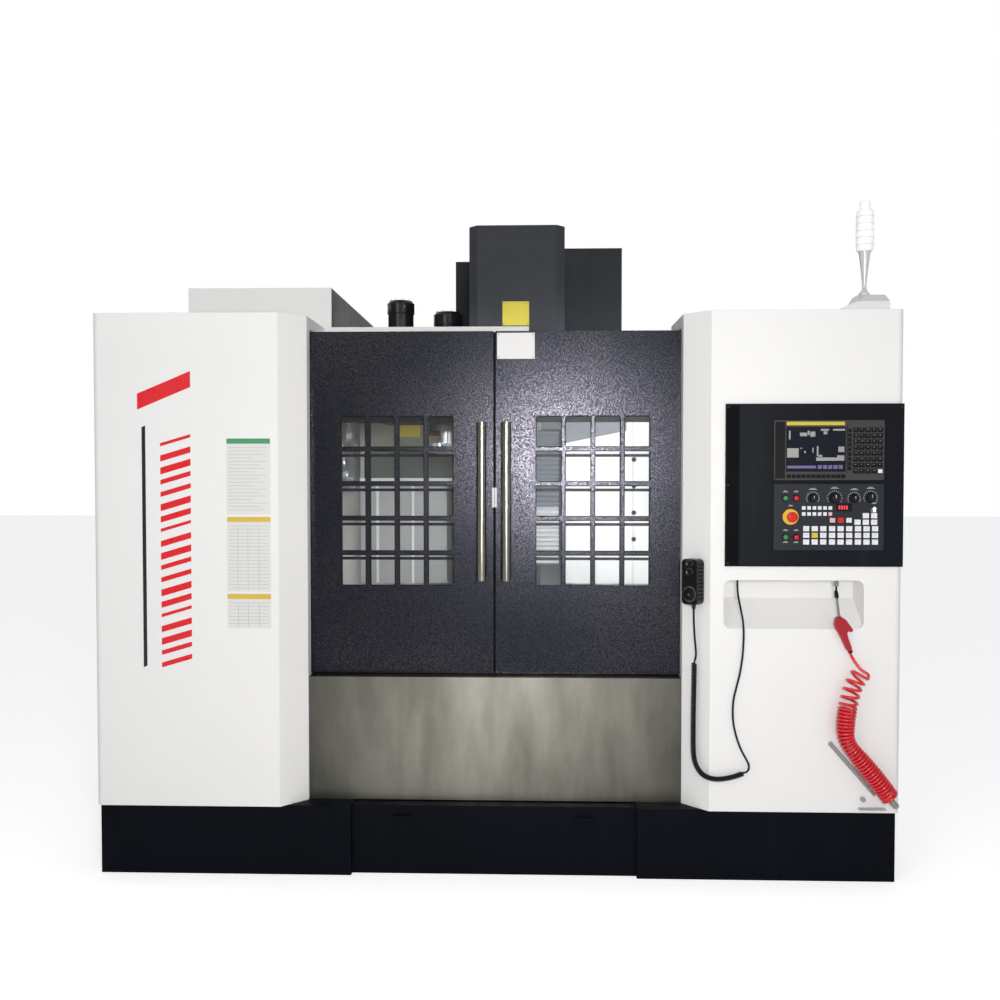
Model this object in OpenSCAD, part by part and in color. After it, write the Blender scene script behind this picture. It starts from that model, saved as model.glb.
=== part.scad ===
// Vertical machining centre: sliding-door enclosure, C-frame bed and column, arm tool changer
// and a control built into the right cabinet.
// Millimetres, +Z up, front towards -Y, origin on the floor under the middle of the machine.
// Inside place() the second coordinate is the depth behind the cabinets' front plane.

/* [Enclosure] */
// Width over both cabinets
total_w = 3020; // [2960:10:3200]
// Depth of the electrical cabinet behind the bed
cabinet_depth = 253; // [243:1:360]
// Width of the door opening between the cabinets
opening_w = 1432; // [1420:2:1460]
// Width of the slanted cabinet edge beside the opening
chamfer_w = 90; // [80:2:100]
// Height of the cabinets' lower edge
cab_bottom = 266; // [262:1:276]
// Height of the cabinets' top
cab_top = 2128; // [2122:2:2200]
// Depth of the cabinets' side walls
cab_side_d = 700; // [600:10:800]
// Depth of the side and rear walls behind them
wall_rear_d = 1900; // [1850:10:1950]
// Depth of the top strips beside the opening
fascia_d = 424; // [400:2:440]
// Sheet thickness of cabinets and walls
sheet_t = 3; // [2.5:0.5:3.5]
// Radius of the cabinets' outer corners
corner_r = 25; // [15:1:30]
// Right end and depth of the roof strip behind the left door
roof_strip_end = 132; // [100:2:160]
// Depth of the roof strip
roof_strip_w = 136; // [100:2:150]
// Inset of the base under the cabinets
base_inset = 10; // [5:1:15]
// Setback of the base front
base_setback = 20; // [10:1:30]
// Half width of the recessed coolant tank front
tank_half_w = 541; // [500:1:560]
// Setback of the tank front behind the base front
tank_setback = 25; // [15:1:35]
// Depth of the coolant tank
tank_d = 585; // [500:5:590]

/* [Doors] */
// Depth of the door faces behind the cabinet fronts
door_front = 150; // [146:1:156]
// Thickness of a door
door_t = 40; // [36:1:42]
// Height of the doors' lower edge
door_bottom = 748; // [746:1:756]
// Height of the doors' upper edge
door_top = 2075; // [2060:1:2080]
// Gap between the closed doors
seam_gap = 9; // [6:1:12]
// How far a closed door reaches behind the cabinet edge
door_overlap = 16; // [10:1:20]
// Travel of each door
door_travel = 640; // [600:5:650]
// Height of the stainless apron's ledge
apron_top = 742; // [740:0.5:744]
// Depth of the apron face
apron_front = 100; // [98:1:110]
// Columns and rows of window openings
window_cols = 4; // [3:1:5]
window_rows = 5; // [4:1:6]
// Width and height of a window opening
pane_w = 100.5; // [90:0.5:102]
// Height of a window opening
pane_h = 121; // [110:1:123]
// Width of the upright bars between openings
bar_x = 13; // [10:0.5:14]
// Height of the level bars between openings
bar_z = 13.5; // [10:0.5:15]
// Corner radius of a window opening
pane_r = 7; // [4:0.5:10]
// Distance of a window's middle from the door seam
window_x = 380; // [375:1:385]
// Height of the windows' upper edge
window_top = 1749; // [1740:1:1760]
// Offset of the inner grille bars below the outer ones
grille_drop = 25; // [20:1:30]
// Diameter of the door handles
handle_d = 36; // [30:1:38]
// Length of the door handles
handle_l = 607; // [560:1:640]
// Distance of a handle's axis from the seam
handle_x = 47; // [42:1:55]
// Height of the handles' middle
handle_z = 1419; // [1400:1:1440]

/* [Axes] */
// Spindle axis to the right of the machine's middle
spindle_x = 78; // [74:1:82]
// Spindle axis behind the cabinet fronts
spindle_d = 890; // [880:1:900]
// Travel of the table to each side
x_travel = 550; // [500:5:560]
// Travel of the saddle to each side
y_travel = 300; // [280:5:305]
// Travel of the head
z_travel = 600; // [560:5:620]
// Width of the table
table_w = 1200; // [1160:10:1220]
// Depth of the table
table_d = 600; // [560:10:605]
// Height of the table's top face
table_top = 910; // [905:1:920]
// Thickness of the table
table_t = 120; // [112:1:120]
// Width of a T-slot
slot_w = 18; // [14:1:22]
// Pitch of the T-slots
slot_pitch = 110; // [100:1:112]
// Number of T-slots
slots = 5; // [3:2:5]
// Height of the spindle nose with the head up
nose_z = 1700; // [1695:1:1710]
// Width of a guide rail
rail_w = 45; // [35:5:45]
// Height of a guide rail
rail_h = 38; // [36:1:40]
// Diameter of a ball screw
screw_d = 40; // [32:1:45]
// Lead of the ball screws
screw_lead = 16; // [10:1:20]

/* [Head and column] */
// Width of the head's cover
hood_w = 422; // [400:2:424]
// Depth of the cover's front
hood_front = 700; // [680:2:720]
// Height of the cover's top
hood_top = 2614; // [2580:2:2640]
// Slanted corners of the cover
hood_chamfer = 36; // [25:1:45]
// Width of the column
column_w = 540; // [500:10:560]
// Depth of the column's rail face
column_front = 1545; // [1541:1:1550]
// Depth of the column
column_d = 460; // [440:5:462]
// Height of the column
column_top = 2480; // [2440:5:2500]
// Depth of the front of the column's covers
cover_front = 1400; // [1390:2:1410]
// Height of the left column cover
cover_top = 2601; // [2590:1:2620]
// Height of the cable guard on the right
guard_top = 2665; // [2640:1:2690]

/* [Tool changer] */
// Pots in the magazine
pots = 24; // [16:1:24]
// Radius of the pot circle
pot_circle = 380; // [370:1:390]
// Diameter of a pot
pot_d = 82; // [70:1:84]
// Distance from the arm's pivot to the spindle
arm_reach = 328; // [322:1:334]
// Extension of the arm
arm_drop = 115; // [100:1:120]

/* [Control] */
// Left edge of the control panel
panel_left = 858; // [850:1:870]
// Width of the control panel
panel_w = 650; // [640:1:650]
// Lower edge of the control panel
panel_bottom = 1183; // [1180:1:1190]
// Height of the control panel
panel_h = 600; // [590:1:610]
// Height of the panel's face above the cabinet front
panel_proud = 8; // [4:1:12]
// Left edge of the display and of the key field
unit_left = 1033; // [1026:1:1040]
// Width of the display and of the key field
unit_w = 400; // [396:1:404]
// Height of the display unit
unit_h = 220; // [216:1:224]
// Height of the key field
keys_h = 244; // [240:1:248]
// Gap between the display unit and the key field
unit_gap = 14; // [10:1:18]
// Height of both above the panel
unit_proud = 10; // [6:1:12]
// Diameter of the stop button's head
stop_d = 38; // [34:1:40]
// Height of the stop button above the key field
stop_h = 40; // [34:1:42]
// Width of the storage pocket
pocket_w = 514; // [500:2:520]
// Height of the storage pocket
pocket_h = 181; // [170:1:184]
// Depth of the storage pocket
pocket_d = 125; // [110:1:128]
// Top of the storage pocket
pocket_top = 1131; // [1120:1:1140]
// Diameter of the straight part of the handset cable
cable_d = 8; // [6:0.5:9]
// Outer diameter of its curly part
curl_d = 21; // [18:1:22]
// Diameter of the air hose
hose_d = 11; // [9:0.5:12]
// Outer diameter of the air hose's coil
hose_coil_d = 72; // [66:1:76]

/* [Hidden] */
$fn = 48;

half_w = total_w / 2;
open_h = opening_w / 2;
flat_in = open_h + chamfer_w;
front_proud = panel_proud + unit_proud + stop_h;
cabinet_gap = 12;
cabinet_door_t = 30;
total_d = column_front + column_d + cabinet_gap + cabinet_depth + cabinet_door_t;
front_y = front_proud - (total_d + front_proud) / 2;
fit = 0.05;
run = 0.3;

// door rails, depths behind the door and heights
door_rear = door_front + door_t;
liner_d = 240;
beam_top = 2045;
beam_h = 60;
beam_d = 40;
rail_bar_w = 12;
rail_bar_h = 15;
rail_bar_d = liner_d - 20;
track_t = 6;
track_d = 211;
track_top = 766;
window_w = window_cols * pane_w + (window_cols - 1) * bar_x;
window_h = window_rows * pane_h + (window_rows - 1) * bar_z;
window_bottom = window_top - window_h;
door_w = open_h + door_overlap - seam_gap / 2;

// bed, saddle and table
bed_w = 760;
bed_top = 470;
bed_under = 60;
nose_bottom = 280;
bed_front = 260;
bed_rear = column_front + column_d;
trough_w = 240;
trough_z = 430;
tunnel_rear = column_front + 215;
seat_z = 560;
y_gauge = 520;
block_h = 22;
saddle_w = 1560;
saddle_d = 600;
saddle_z = bed_top + rail_h + block_h;
x_rail_z = table_top - table_t - block_h - rail_h;
x_gauge = 400;
table_block_x = 170;
y_screw_z = 490;
x_screw_z = x_rail_z - 30;
nut_w = 90;
y_lo = spindle_d - y_travel;
y_hi = spindle_d + y_travel;

// head and spindle
z_gauge = 340;
head_w = 276;
head_bottom = nose_z + 100;
head_top = nose_z + 450;
plate_w = 440;
carriage_d = column_front - rail_h - block_h;
spindle_r = 45;
z_screw_d = column_front - 10;
z_low = 1130;

// tool changer
arm_x = spindle_x - arm_reach;
arm_z = nose_z - 60;
gear_right = spindle_x - hood_w / 2 - 17;
gear_left = gear_right - 410;
gear_front = 800;
gear_rear = 1150;
gear_bottom = nose_z + 60;
gear_top = 2150;
shaft_r = 28;
bracket_z0 = 1800;
bracket_z1 = 2100;
disc_x = -770;
disc_d = 1330;
disc_z = 1850;
disc_t = 30;
pot_l = 105;

// control: heights on the face, with the unit's lower left corner as the key field's datum
panel_face = -panel_proud;
unit_face = panel_face - unit_proud;
display_bottom = panel_bottom + panel_h - unit_h - 61;
keys_bottom = display_bottom - unit_gap - keys_h;
pocket_left = panel_left - 2;
gland_x = 912;
gland_d = 29;
clip_d = 30;

// handset on the slanted edge of the right cabinet
pendant_w = 72;
pendant_t = 48;
pendant_h = 170;
pendant_z = 1123;
dial_drop = -45;

// routes of the cords, depths in front of the cabinet are negative
handset_end = [[750, 26, 1020], [750, 26, 1000], [751, 26, 960], [754, 26, 910], [758, 26, 870],
    [759, 26, 845], [756, 26, 830], [756, 26, 818]];
curl_route = [[752, 26, 818], [752, 26, 760], [751, 26, 690], [750, 26, 615], [750, 26, 540],
    [751, 24, 480], [758, 16, 440], [775, 4, 411], [800, -12, 397], [835, -16, 392], [875, -16, 397],
    [906, -16, 406], [929, -16, 415]];
rising_route = [[929, -16, 415], [940.5, -16, 419.5], [949, -16, 432], [948, -16, 450], [938, -15, 470],
    [924, -13, 496], [910, -11, 530], [899, -10, 568], [892, -10, 605], [890, -10, 645], [893, -10, 690],
    [903, -10, 735], [915, -10, 785], [924, -10, 845], [928, -10, 905], [928, -9, 950], [925, -4, 990],
    [918, 8, 1035], [913, 22, 1075], [912, 29, 1108], [912, 29, 1136]];
hose_route = [[1313, -16, 879], [1320, -17, 857], [1330, -21, 838], [1343, -28, 818], [1357, -36, 803],
    [1370, -42, 796], [1376, -44, 789], [1370, -44, 781]];
coil_route = [[1350, -44, 796], [1332, -44, 772], [1318, -44, 740], [1307, -44, 700], [1299, -44, 655],
    [1294, -44, 610], [1295, -44, 565], [1308, -44, 530], [1334, -44, 496], [1368, -44, 454],
    [1404, -44, 410], [1437, -44, 367], [1462, -44, 332]];
cord_fn = 10;

// general shapes
module place() { translate([0, front_y, 0]) children(); }
module block(x0, x1, d0, d1, z0, z1) { translate([x0, d0, z0]) cube([x1 - x0, d1 - d0, z1 - z0]); }
module both_sides() { children(); mirror([1, 0, 0]) children(); }
module facing(d) { translate([0, d, 0]) rotate([90, 0, 0]) children(); }
module wall(d, t) { facing(d + t) linear_extrude(t) children(); }
module along_x(x, w) { translate([x, 0, 0]) rotate([90, 0, 90]) linear_extrude(w) children(); }
module round_rect(w, h, r) {
    square([w - 2 * r, h], center = true);
    square([w, h - 2 * r], center = true);
    for (x = [-1, 1], z = [-1, 1]) translate([x * (w / 2 - r), z * (h / 2 - r)]) circle(r, $fn = 24);
}
module pin_d(x, z, d0, d1, r) { translate([x, d1, z]) rotate([90, 0, 0]) cylinder(r = r, h = d1 - d0); }
module pin_x(x0, x1, d, z, r) { translate([x0, d, z]) rotate([0, 90, 0]) cylinder(r = r, h = x1 - x0); }

// a swept tube with round section along a route
function unit(v) = v / norm(v);
function tangent(p, i) = unit(p[min(i + 1, len(p) - 1)] - p[max(i - 1, 0)]);
function side_of(t) = unit(cross(t, abs(t[1]) > 0.9 ? [1, 0, 0] : [0, 1, 0]));
function ring(p, i, r, n) = let (t = tangent(p, i), a = side_of(t), b = cross(t, a))
    [for (k = [0:n - 1]) p[i] + r * (cos(360 * k / n) * a + sin(360 * k / n) * b)];
module tube(p, r, n) {
    last = (len(p) - 1) * n;
    points = [for (i = [0:len(p) - 1]) each ring(p, i, r, n)];
    sides = [for (i = [0:len(p) - 2], k = [0:n - 1])
        [i * n + k, i * n + (k + 1) % n, (i + 1) * n + (k + 1) % n, (i + 1) * n + k]];
    polyhedron(points, concat([[for (k = [n - 1:-1:0]) k]], sides, [[for (k = [0:n - 1]) last + k]]));
}

// a guide rail's section, seated on the X axis
module rail_section() {
    waist = rail_w * 0.3;
    polygon([[-rail_w / 2, 0], [rail_w / 2, 0], [rail_w / 2, rail_h * 0.3], [waist, rail_h * 0.45],
        [waist, rail_h * 0.65], [rail_w / 2, rail_h * 0.8], [rail_w / 2, rail_h], [-rail_w / 2, rail_h],
        [-rail_w / 2, rail_h * 0.8], [-waist, rail_h * 0.65], [-waist, rail_h * 0.45],
        [-rail_w / 2, rail_h * 0.3]]);
}
// a carriage's section: a block that straddles the rail with a running gap
module carriage_section(w = 100) {
    difference() {
        translate([-w / 2, 8]) square([w, rail_h + block_h - 8]);
        translate([-rail_w / 2 - run, 0]) square([rail_w + 2 * run, rail_h + run]);
    }
}

// bed: hollow casting with a nose over the tank, rail seats, a chip trough and the column seat
module bed() {
    left = spindle_x - bed_w / 2;
    color("#22262c") place() difference() {
        along_x(left, bed_w) polygon([[bed_front, nose_bottom + 60], [bed_front + 60, nose_bottom],
            [650, nose_bottom], [700, bed_under], [bed_rear, bed_under], [bed_rear, seat_z],
            [column_front - 45, seat_z], [column_front - 45, bed_top], [bed_front, bed_top]]);
        block(spindle_x - trough_w / 2, spindle_x + trough_w / 2, bed_front - 1, tunnel_rear, trough_z, 600);
        for (d = [740, 1160, 1580])
            block(left + 60, left + bed_w - 60, d, d + 380, bed_under - 1, trough_z - 60);
        for (d = [930, 1350, 1770]) pin_x(left - 1, left + 61, d, 215, 80);
        for (d = [930, 1350, 1770]) pin_x(left + bed_w - 61, left + bed_w + 1, d, 215, 80);
    }
    color("#22262c") place() difference() {
        block(spindle_x - 60, spindle_x + 60, bed_front + 4, bed_front + 44, trough_z, y_screw_z + 36);
        pin_d(spindle_x, y_screw_z, bed_front, bed_front + 50, screw_d / 2 + fit);
    }
}

// base: sheet plinth with a flange under the cabinets and ties to the bed
module base_skirt() {
    w = half_w - base_inset;
    z = cab_bottom;
    bed_left = spindle_x - bed_w / 2;
    tie_z = bed_under + 60;
    color("#14181f") place() {
        difference() {
            block(-w, w, base_setback, wall_rear_d, 0, z);
            block(-w + sheet_t, w - sheet_t, base_setback + sheet_t, wall_rear_d - sheet_t, -1, z - sheet_t);
            block(-w + 60, w - 60, base_setback + 80, wall_rear_d - 60, -1, z + 1);
            block(-tank_half_w, tank_half_w, base_setback - 1, wall_rear_d / 2, -1, z + 1);
            block(bed_left - 1, bed_left + bed_w + 1, wall_rear_d - 100, wall_rear_d + 1, -1, z + 1);
        }
        for (x = [-tank_half_w - sheet_t, tank_half_w])
            block(x, x + sheet_t, base_setback + sheet_t, base_setback + tank_setback + tank_d - 100, 0, z);
        for (d = [1000, 1700]) {
            block(-w + sheet_t, bed_left, d, d + 60, bed_under, tie_z);
            block(bed_left + bed_w, w - sheet_t, d, d + 60, bed_under, tie_z);
        }
    }
}

// coolant tank with a recessed front, a lid flange and two pull handles
module coolant_tank() {
    front = base_setback + tank_setback;
    top = cab_bottom - 4;
    w = tank_half_w;
    grip = 70;
    color("#0f141b") place() {
        difference() {
            block(-w, w, front, front + tank_d, 0, top);
            block(-w + sheet_t, w - sheet_t, front + sheet_t, front + tank_d - sheet_t, 8, top + 1);
        }
        difference() {
            block(-w, w, front, front + tank_d, top - sheet_t, top);
            block(-w + 40, w - 40, front + 60, front + tank_d - 40, top - 10, top + 1);
        }
        for (x = [-w + 160, w - 160 - grip]) block(x, x + grip, front - 10, front, top - 50, top - 38);
    }
}

// eight levelling screws with pads under the bed
module leveling_feet() {
    color("#4b4f55") place()
        for (x = [-1, 1], d = [720, 1140, 1560, 1970]) translate([spindle_x + x * 340, d, 0]) {
            cylinder(d = 60, h = 14);
            translate([0, 0, 14]) cylinder(d = 24, h = bed_under - 14);
            translate([0, 0, 30]) cylinder(d = 42, h = 16, $fn = 6);
        }
}

// plan of a cabinet: outer side, rounded corner, front, slanted edge and return flange
module cabinet_plan(inset = 0) {
    k = inset * tan(22.5);
    polygon([[-half_w + inset, corner_r], [-half_w + corner_r, inset], [-flat_in - k, inset],
        [-open_h - inset, chamfer_w + k], [-open_h - inset, cab_side_d + 1], [-half_w + inset, cab_side_d + 1]]);
    intersection() {
        translate([-half_w + corner_r, corner_r]) circle(corner_r - inset);
        translate([-half_w, 0]) square(corner_r + 1);
    }
}
// the sheet shell shared by both cabinets, drawn for the left side
module cabinet_shell() {
    t = sheet_t;
    translate([0, 0, cab_bottom]) linear_extrude(cab_top - cab_bottom) intersection() {
        difference() {
            cabinet_plan();
            cabinet_plan(t);
            translate([-half_w + t, door_front - 10]) square([half_w, cab_side_d]);
        }
        translate([-half_w - 1, -1]) square([total_w, cab_side_d + 1]);
    }
    translate([0, 0, cab_bottom]) linear_extrude(t) intersection() {
        cabinet_plan(t / 2);
        translate([-half_w, 0]) square([total_w, liner_d]);
    }
    translate([0, 0, cab_top - t]) linear_extrude(t) intersection() {
        cabinet_plan(t / 2);
        translate([-half_w, 0]) square([total_w, fascia_d]);
    }
    block(-half_w + t / 2, -open_h, liner_d, liner_d + t, cab_bottom, cab_top);
    block(-open_h - t, -open_h, door_front - 12, fascia_d, door_top + 8, cab_top);
    block(-half_w + t / 2, -open_h, fascia_d - t, fascia_d, cab_top - 70, cab_top);
    block(-half_w + t / 2, -half_w + 30, cab_side_d - t, cab_side_d, cab_bottom, cab_top);
}

// left cabinet with the roof strip behind the left door
module left_cabinet() {
    color("#ecece9") place() {
        cabinet_shell();
        difference() {
            block(-open_h, roof_strip_end, fascia_d, fascia_d + roof_strip_w, cab_top - 36, cab_top + 4);
            block(-open_h - 1, roof_strip_end - 3, fascia_d + 3, fascia_d + roof_strip_w + 1, cab_top - 40,
                cab_top + 1);
        }
        block(-open_h - 60, -open_h, fascia_d, fascia_d + roof_strip_w, cab_top - 36, cab_top);
    }
}

// storage pocket: the hollow's profile runs back under a level roof and slopes out to the face
module pocket_form(grow = 0) {
    intersection() {
        along_x(pocket_left - grow, pocket_w + 2 * grow) polygon([[grow > 0 ? 0.5 : -1, pocket_top + grow],
            [pocket_d + grow, pocket_top + grow], [pocket_d + grow, pocket_top - 80],
            [grow > 0 ? 0.5 : -1, pocket_top - pocket_h - 2 * grow]]);
        facing(pocket_d + 20) linear_extrude(pocket_d + 40)
            translate([pocket_left + pocket_w / 2, pocket_top - pocket_h / 2])
                round_rect(pocket_w + 2 * grow, pocket_h + 2 * grow, 28 + grow);
    }
}
// right cabinet with the control cut-out, the storage pocket and the gland for the handset cable
module right_cabinet() {
    color("#ecece9") place() difference() {
        union() {
            mirror([1, 0, 0]) cabinet_shell();
            pocket_form(sheet_t);
            translate([gland_x, gland_d, pocket_top + sheet_t]) cylinder(d = 26, h = 20);
        }
        block(panel_left + 6, panel_left + panel_w - 14, -1, 8, panel_bottom + 6, panel_bottom + panel_h - 6);
        pocket_form();
        translate([gland_x, gland_d, pocket_top - 1]) cylinder(d = cable_d + 0.2, h = 25);
    }
}

// stainless apron with its ledge, running back under the doors
module apron() {
    t = 3;
    color("#8d8c84") place() along_x(-open_h, opening_w) polygon([[apron_front, cab_bottom],
        [apron_front + t, cab_bottom], [apron_front + t, apron_top - t], [liner_d - t, apron_top - t],
        [liner_d - t, apron_top - 60], [liner_d, apron_top - 60], [liner_d, apron_top],
        [apron_front, apron_top]]);
}

// upper beam with its rail, and the lower track for the door guides
module door_rails() {
    end = half_w - 12;
    color("#8f9499") place() {
        difference() {
            block(-end, end, liner_d - beam_d, liner_d, beam_top - beam_h, beam_top);
            block(-end - 1, end + 1, liner_d - beam_d + 4, liner_d + 1, beam_top - beam_h + 4, beam_top - 6);
        }
        block(-end, end, rail_bar_d - rail_bar_w / 2, rail_bar_d + rail_bar_w / 2, beam_top,
            beam_top + rail_bar_h);
        block(-end, end, track_d, track_d + track_t, apron_top, track_top);
        both_sides() block(open_h, end, track_d, liner_d, apron_top - 4, apron_top);
    }
}

// side and rear walls, the chip slopes and the plate under the magazine cover
module rear_enclosure() {
    t = sheet_t;
    slope_in = bed_w / 2;
    gap_l = spindle_x - bed_w / 2 - 4;
    gap_r = spindle_x + bed_w / 2 + 4;
    color("#e4e4e1") place() {
        for (x = [-half_w, half_w - t]) {
            block(x, x + t, cab_side_d, wall_rear_d, cab_bottom, cab_top);
        }
        block(-half_w + t, gap_l, wall_rear_d - t, wall_rear_d, cab_bottom, cab_top);
        block(gap_r, half_w - t, wall_rear_d - t, wall_rear_d, cab_bottom, cab_top);
        both_sides() block(half_w - 40, half_w - t, cab_side_d, cab_side_d + t, cab_bottom, cab_top);
        for (s = [-1, 1]) {
            wall_slope(s * (half_w - 32), spindle_x + s * slope_in, liner_d + t + 2, cab_side_d - t - 2);
            wall_slope(s * (half_w - t), spindle_x + s * slope_in, cab_side_d + t + 1, column_front - 55);
        }
        difference() {
            union() {
                block(-half_w + t, -open_h - 64, fascia_d, wall_rear_d - t, cab_top - t, cab_top);
                block(-open_h - 64, -640, fascia_d + roof_strip_w + 2, wall_rear_d - t, cab_top - t, cab_top);
            }
            block(-1300, -745, fascia_d + roof_strip_w + 20, 1760, cab_top - t - 1, cab_top + 1);
            block(-half_w + t, -half_w + 31, cab_side_d - t - 1, cab_side_d, cab_top - t - 1, cab_top + 1);
        }
        block(half_w - 60, half_w - t, cab_side_d, wall_rear_d - t, cab_top - t, cab_top);
    }
}
module wall_slope(x_out, x_in, d0, d1) {
    wall(d0, d1 - d0) polygon([[x_out, 700], [x_in, bed_top - 60], [x_in, bed_top - 64], [x_out, 696]]);
}

// box over the tool magazine, open below
module magazine_cover() {
    x0 = -1333;
    x1 = -715;
    d0 = 565;
    d1 = 1780;
    z1 = 2321;
    t = sheet_t;
    color("#efefec") place() {
        difference() {
            block(x0, x1, d0, d1, cab_top, z1);
            block(x0 + t, x1 - t, d0 + t, d1 - t, cab_top - 1, z1 - t);
        }
        for (d = [d0 + 250, d0 + 650, d0 + 1050]) block(x0 - 14, x0, d, d + 60, cab_top, cab_top + t);
    }
}

// electrical cabinet behind the column: screwed sheets, mounting plate, drive modules and gland holes
module electrical_cabinet() {
    x0 = -620;
    x1 = 620;
    d0 = bed_rear + cabinet_gap;
    d1 = total_d - cabinet_door_t;
    z0 = 420;
    z1 = 2080;
    t = 3;
    seam = 0.5;
    color("#dcdcd8") place() {
        difference() {
            block(x0, x1, d0, d1, z0, z0 + t);
            translate([400, (d0 + d1) / 2, z0 - 1]) cylinder(r = 20, h = t + 2);
            translate([300, (d0 + d1) / 2, z0 - 1]) cylinder(r = 12, h = t + 2);
        }
        block(x0, x1, d0, d1, z1 - t, z1);
        for (x = [x0, x1 - t]) block(x, x + t, d0, d1, z0 + t + seam, z1 - t - seam);
        block(x0 + t + seam, x1 - t - seam, d0, d0 + t, z0 + t + seam, z1 - t - seam);
        block(x0 + 40, x1 - 40, d0 + t + seam, d0 + 12, z0 + 40, z1 - 40);
        for (i = [0:3]) block(-520 + i * 150, -400 + i * 150, d0 + 12, d0 + 172, 1500, 1900);
        for (i = [0:5]) block(140 + i * 70, 195 + i * 70, d0 + 12, d0 + 92, 1560, 1680);
        block(-520, 520, d0 + 12, d0 + 60, 1360, 1400);
        for (x = [-200, 320]) block(x, x + 60, bed_rear, d0, z0 + 400, z0 + 1200);
        pin_cabinet(x0, d1);
    }
}
// hinge knuckles on the cabinet's side of the door hinge
module pin_cabinet(x0, d1) {
    for (z = [560, 1260, 1960]) {
        translate([x0 - 10, d1 + 14, z]) cylinder(d = 16, h = 30);
        block(x0 - 16, x0, d1 - 30, d1 + 8, z, z + 30);
    }
}
// rear door of the electrical cabinet with louvres and a turning latch plate
module electrical_door() {
    d1 = total_d - cabinet_door_t;
    hinge_x = -630;
    color("#dcdcd8") place() {
        difference() {
            block(-617, 617, d1 + 2, d1 + 26, 424, 2076);
            block(-612, 612, d1 + 1, d1 + 23, 429, 2071);
            for (i = [0:9]) block(-200, 200, d1 + 20, d1 + 27, 560 + i * 22, 568 + i * 22);
        }
        for (z = [590.5, 1290.5, 1990.5]) {
            translate([hinge_x, d1 + 14, z]) cylinder(d = 16, h = 30);
            block(hinge_x, -612, d1 + 11, d1 + 17, z, z + 30);
        }
        block(560, 585, d1 + 26, d1 + 30, 1180, 1320);
    }
}

// column: casting with a flared foot, rail seats, a screw trough and cored sides
module column() {
    x0 = spindle_x - column_w / 2;
    x1 = spindle_x + column_w / 2;
    rear = column_front + column_d;
    color("#3a3f46") place() difference() {
        union() {
            block(x0, x1, column_front, rear, seat_z, column_top);
            wall(column_front, column_d) polygon([[x0 - 70, seat_z], [x1 + 70, seat_z], [x1 + 70, seat_z + 120],
                [x1, seat_z + 420], [x0, seat_z + 420], [x0 - 70, seat_z + 120]]);
        }
        block(spindle_x - 110, spindle_x + 110, column_front - 1, column_front + 90, seat_z - 1, column_top - 120);
        block(x0 + 40, x1 - 40, column_front + 140, rear - 40, seat_z - 1, column_top - 40);
        for (z = [900, 1300, 1700, 2100]) pin_x(x0 - 80, x1 + 80, column_front + 270, z, 90);
        translate([spindle_x, z_screw_d, column_top - 130]) cylinder(r = screw_d / 2 + 6, h = 140);
    }
    color("#3a3f46") place() block(spindle_x - 60, spindle_x + 60, z_screw_d - 32, column_front + 90,
        z_low - 90, z_low - run);
}

// sheet cover round the column's upper part
module column_cover() {
    x0 = -243;
    x1 = 300;
    rear = column_front + column_d + 8;
    t = 2.5;
    color("#3b4047") place() {
        for (z = [1560, 2240]) block(x0 + t, spindle_x - column_w / 2, column_front + 105, column_front + 145, z, z + 40);
        column_shell(x0, x1, rear, t);
    }
}
module column_shell(x0, x1, rear, t) {
    difference() {
        block(x0, x1, cover_front, rear, 1500, cover_top);
        block(x0 + t, x1 + 1, cover_front + t, rear - t, 1499, cover_top - t);
        block(-150, x1 + 1, cover_front - 1, cover_front + t + 1, 1499, cover_top - 60);
        block(x0 - 1, x1 + 1, rear - 30, rear + 1, 1499, 2100);
        block(x0 - 1, x1 + 1, cover_front - 1, column_front + 124, bracket_z0 - 4, bracket_z1 + 4);
        translate([spindle_x, z_screw_d, cover_top - 60]) cylinder(r = 70, h = 70);
    }
}
// guard for the cable chain to the right of the head, with a panel joint
module chain_guard() {
    x0 = 302;
    x1 = 600;
    joint = 438;
    t = 2.5;
    rear = column_front + 200;
    color("#3b4047") place() {
        difference() {
            block(x0, x1, cover_front, rear, 1500, guard_top);
            block(x0 + t, x1 - t, cover_front + t, rear + 1, 1499, guard_top - t);
            block(x0 - 1, x0 + t + 1, column_front - 40, rear + 1, 1499, column_top + 20);
            block(joint - 1, joint + 1, cover_front - 1, cover_front + 1, 1499, guard_top + 1);
        }
        block(spindle_x + column_w / 2, x1 - t, rear - 60, rear - 30, 1700, 1760);
        block(spindle_x + column_w / 2, x1 - t, rear - 60, rear - 30, 2300, 2360);
        pin_d(321, 2364, cover_front - 6, cover_front, 8);
    }
}

// guide rails of the Y and Z axes
module guide_rails() {
    color("#b9bdc2") place() {
        for (s = [-1, 1]) {
            translate([spindle_x + s * y_gauge / 2, bed_front + 10, bed_top]) rotate([90, 0, 180])
                linear_extrude(column_front - 60 - bed_front - 10) rail_section();
            translate([spindle_x + s * z_gauge / 2, column_front, z_low]) rotate([0, 0, 180])
                linear_extrude(column_top - 40 - z_low) rail_section();
        }
    }
}

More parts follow.
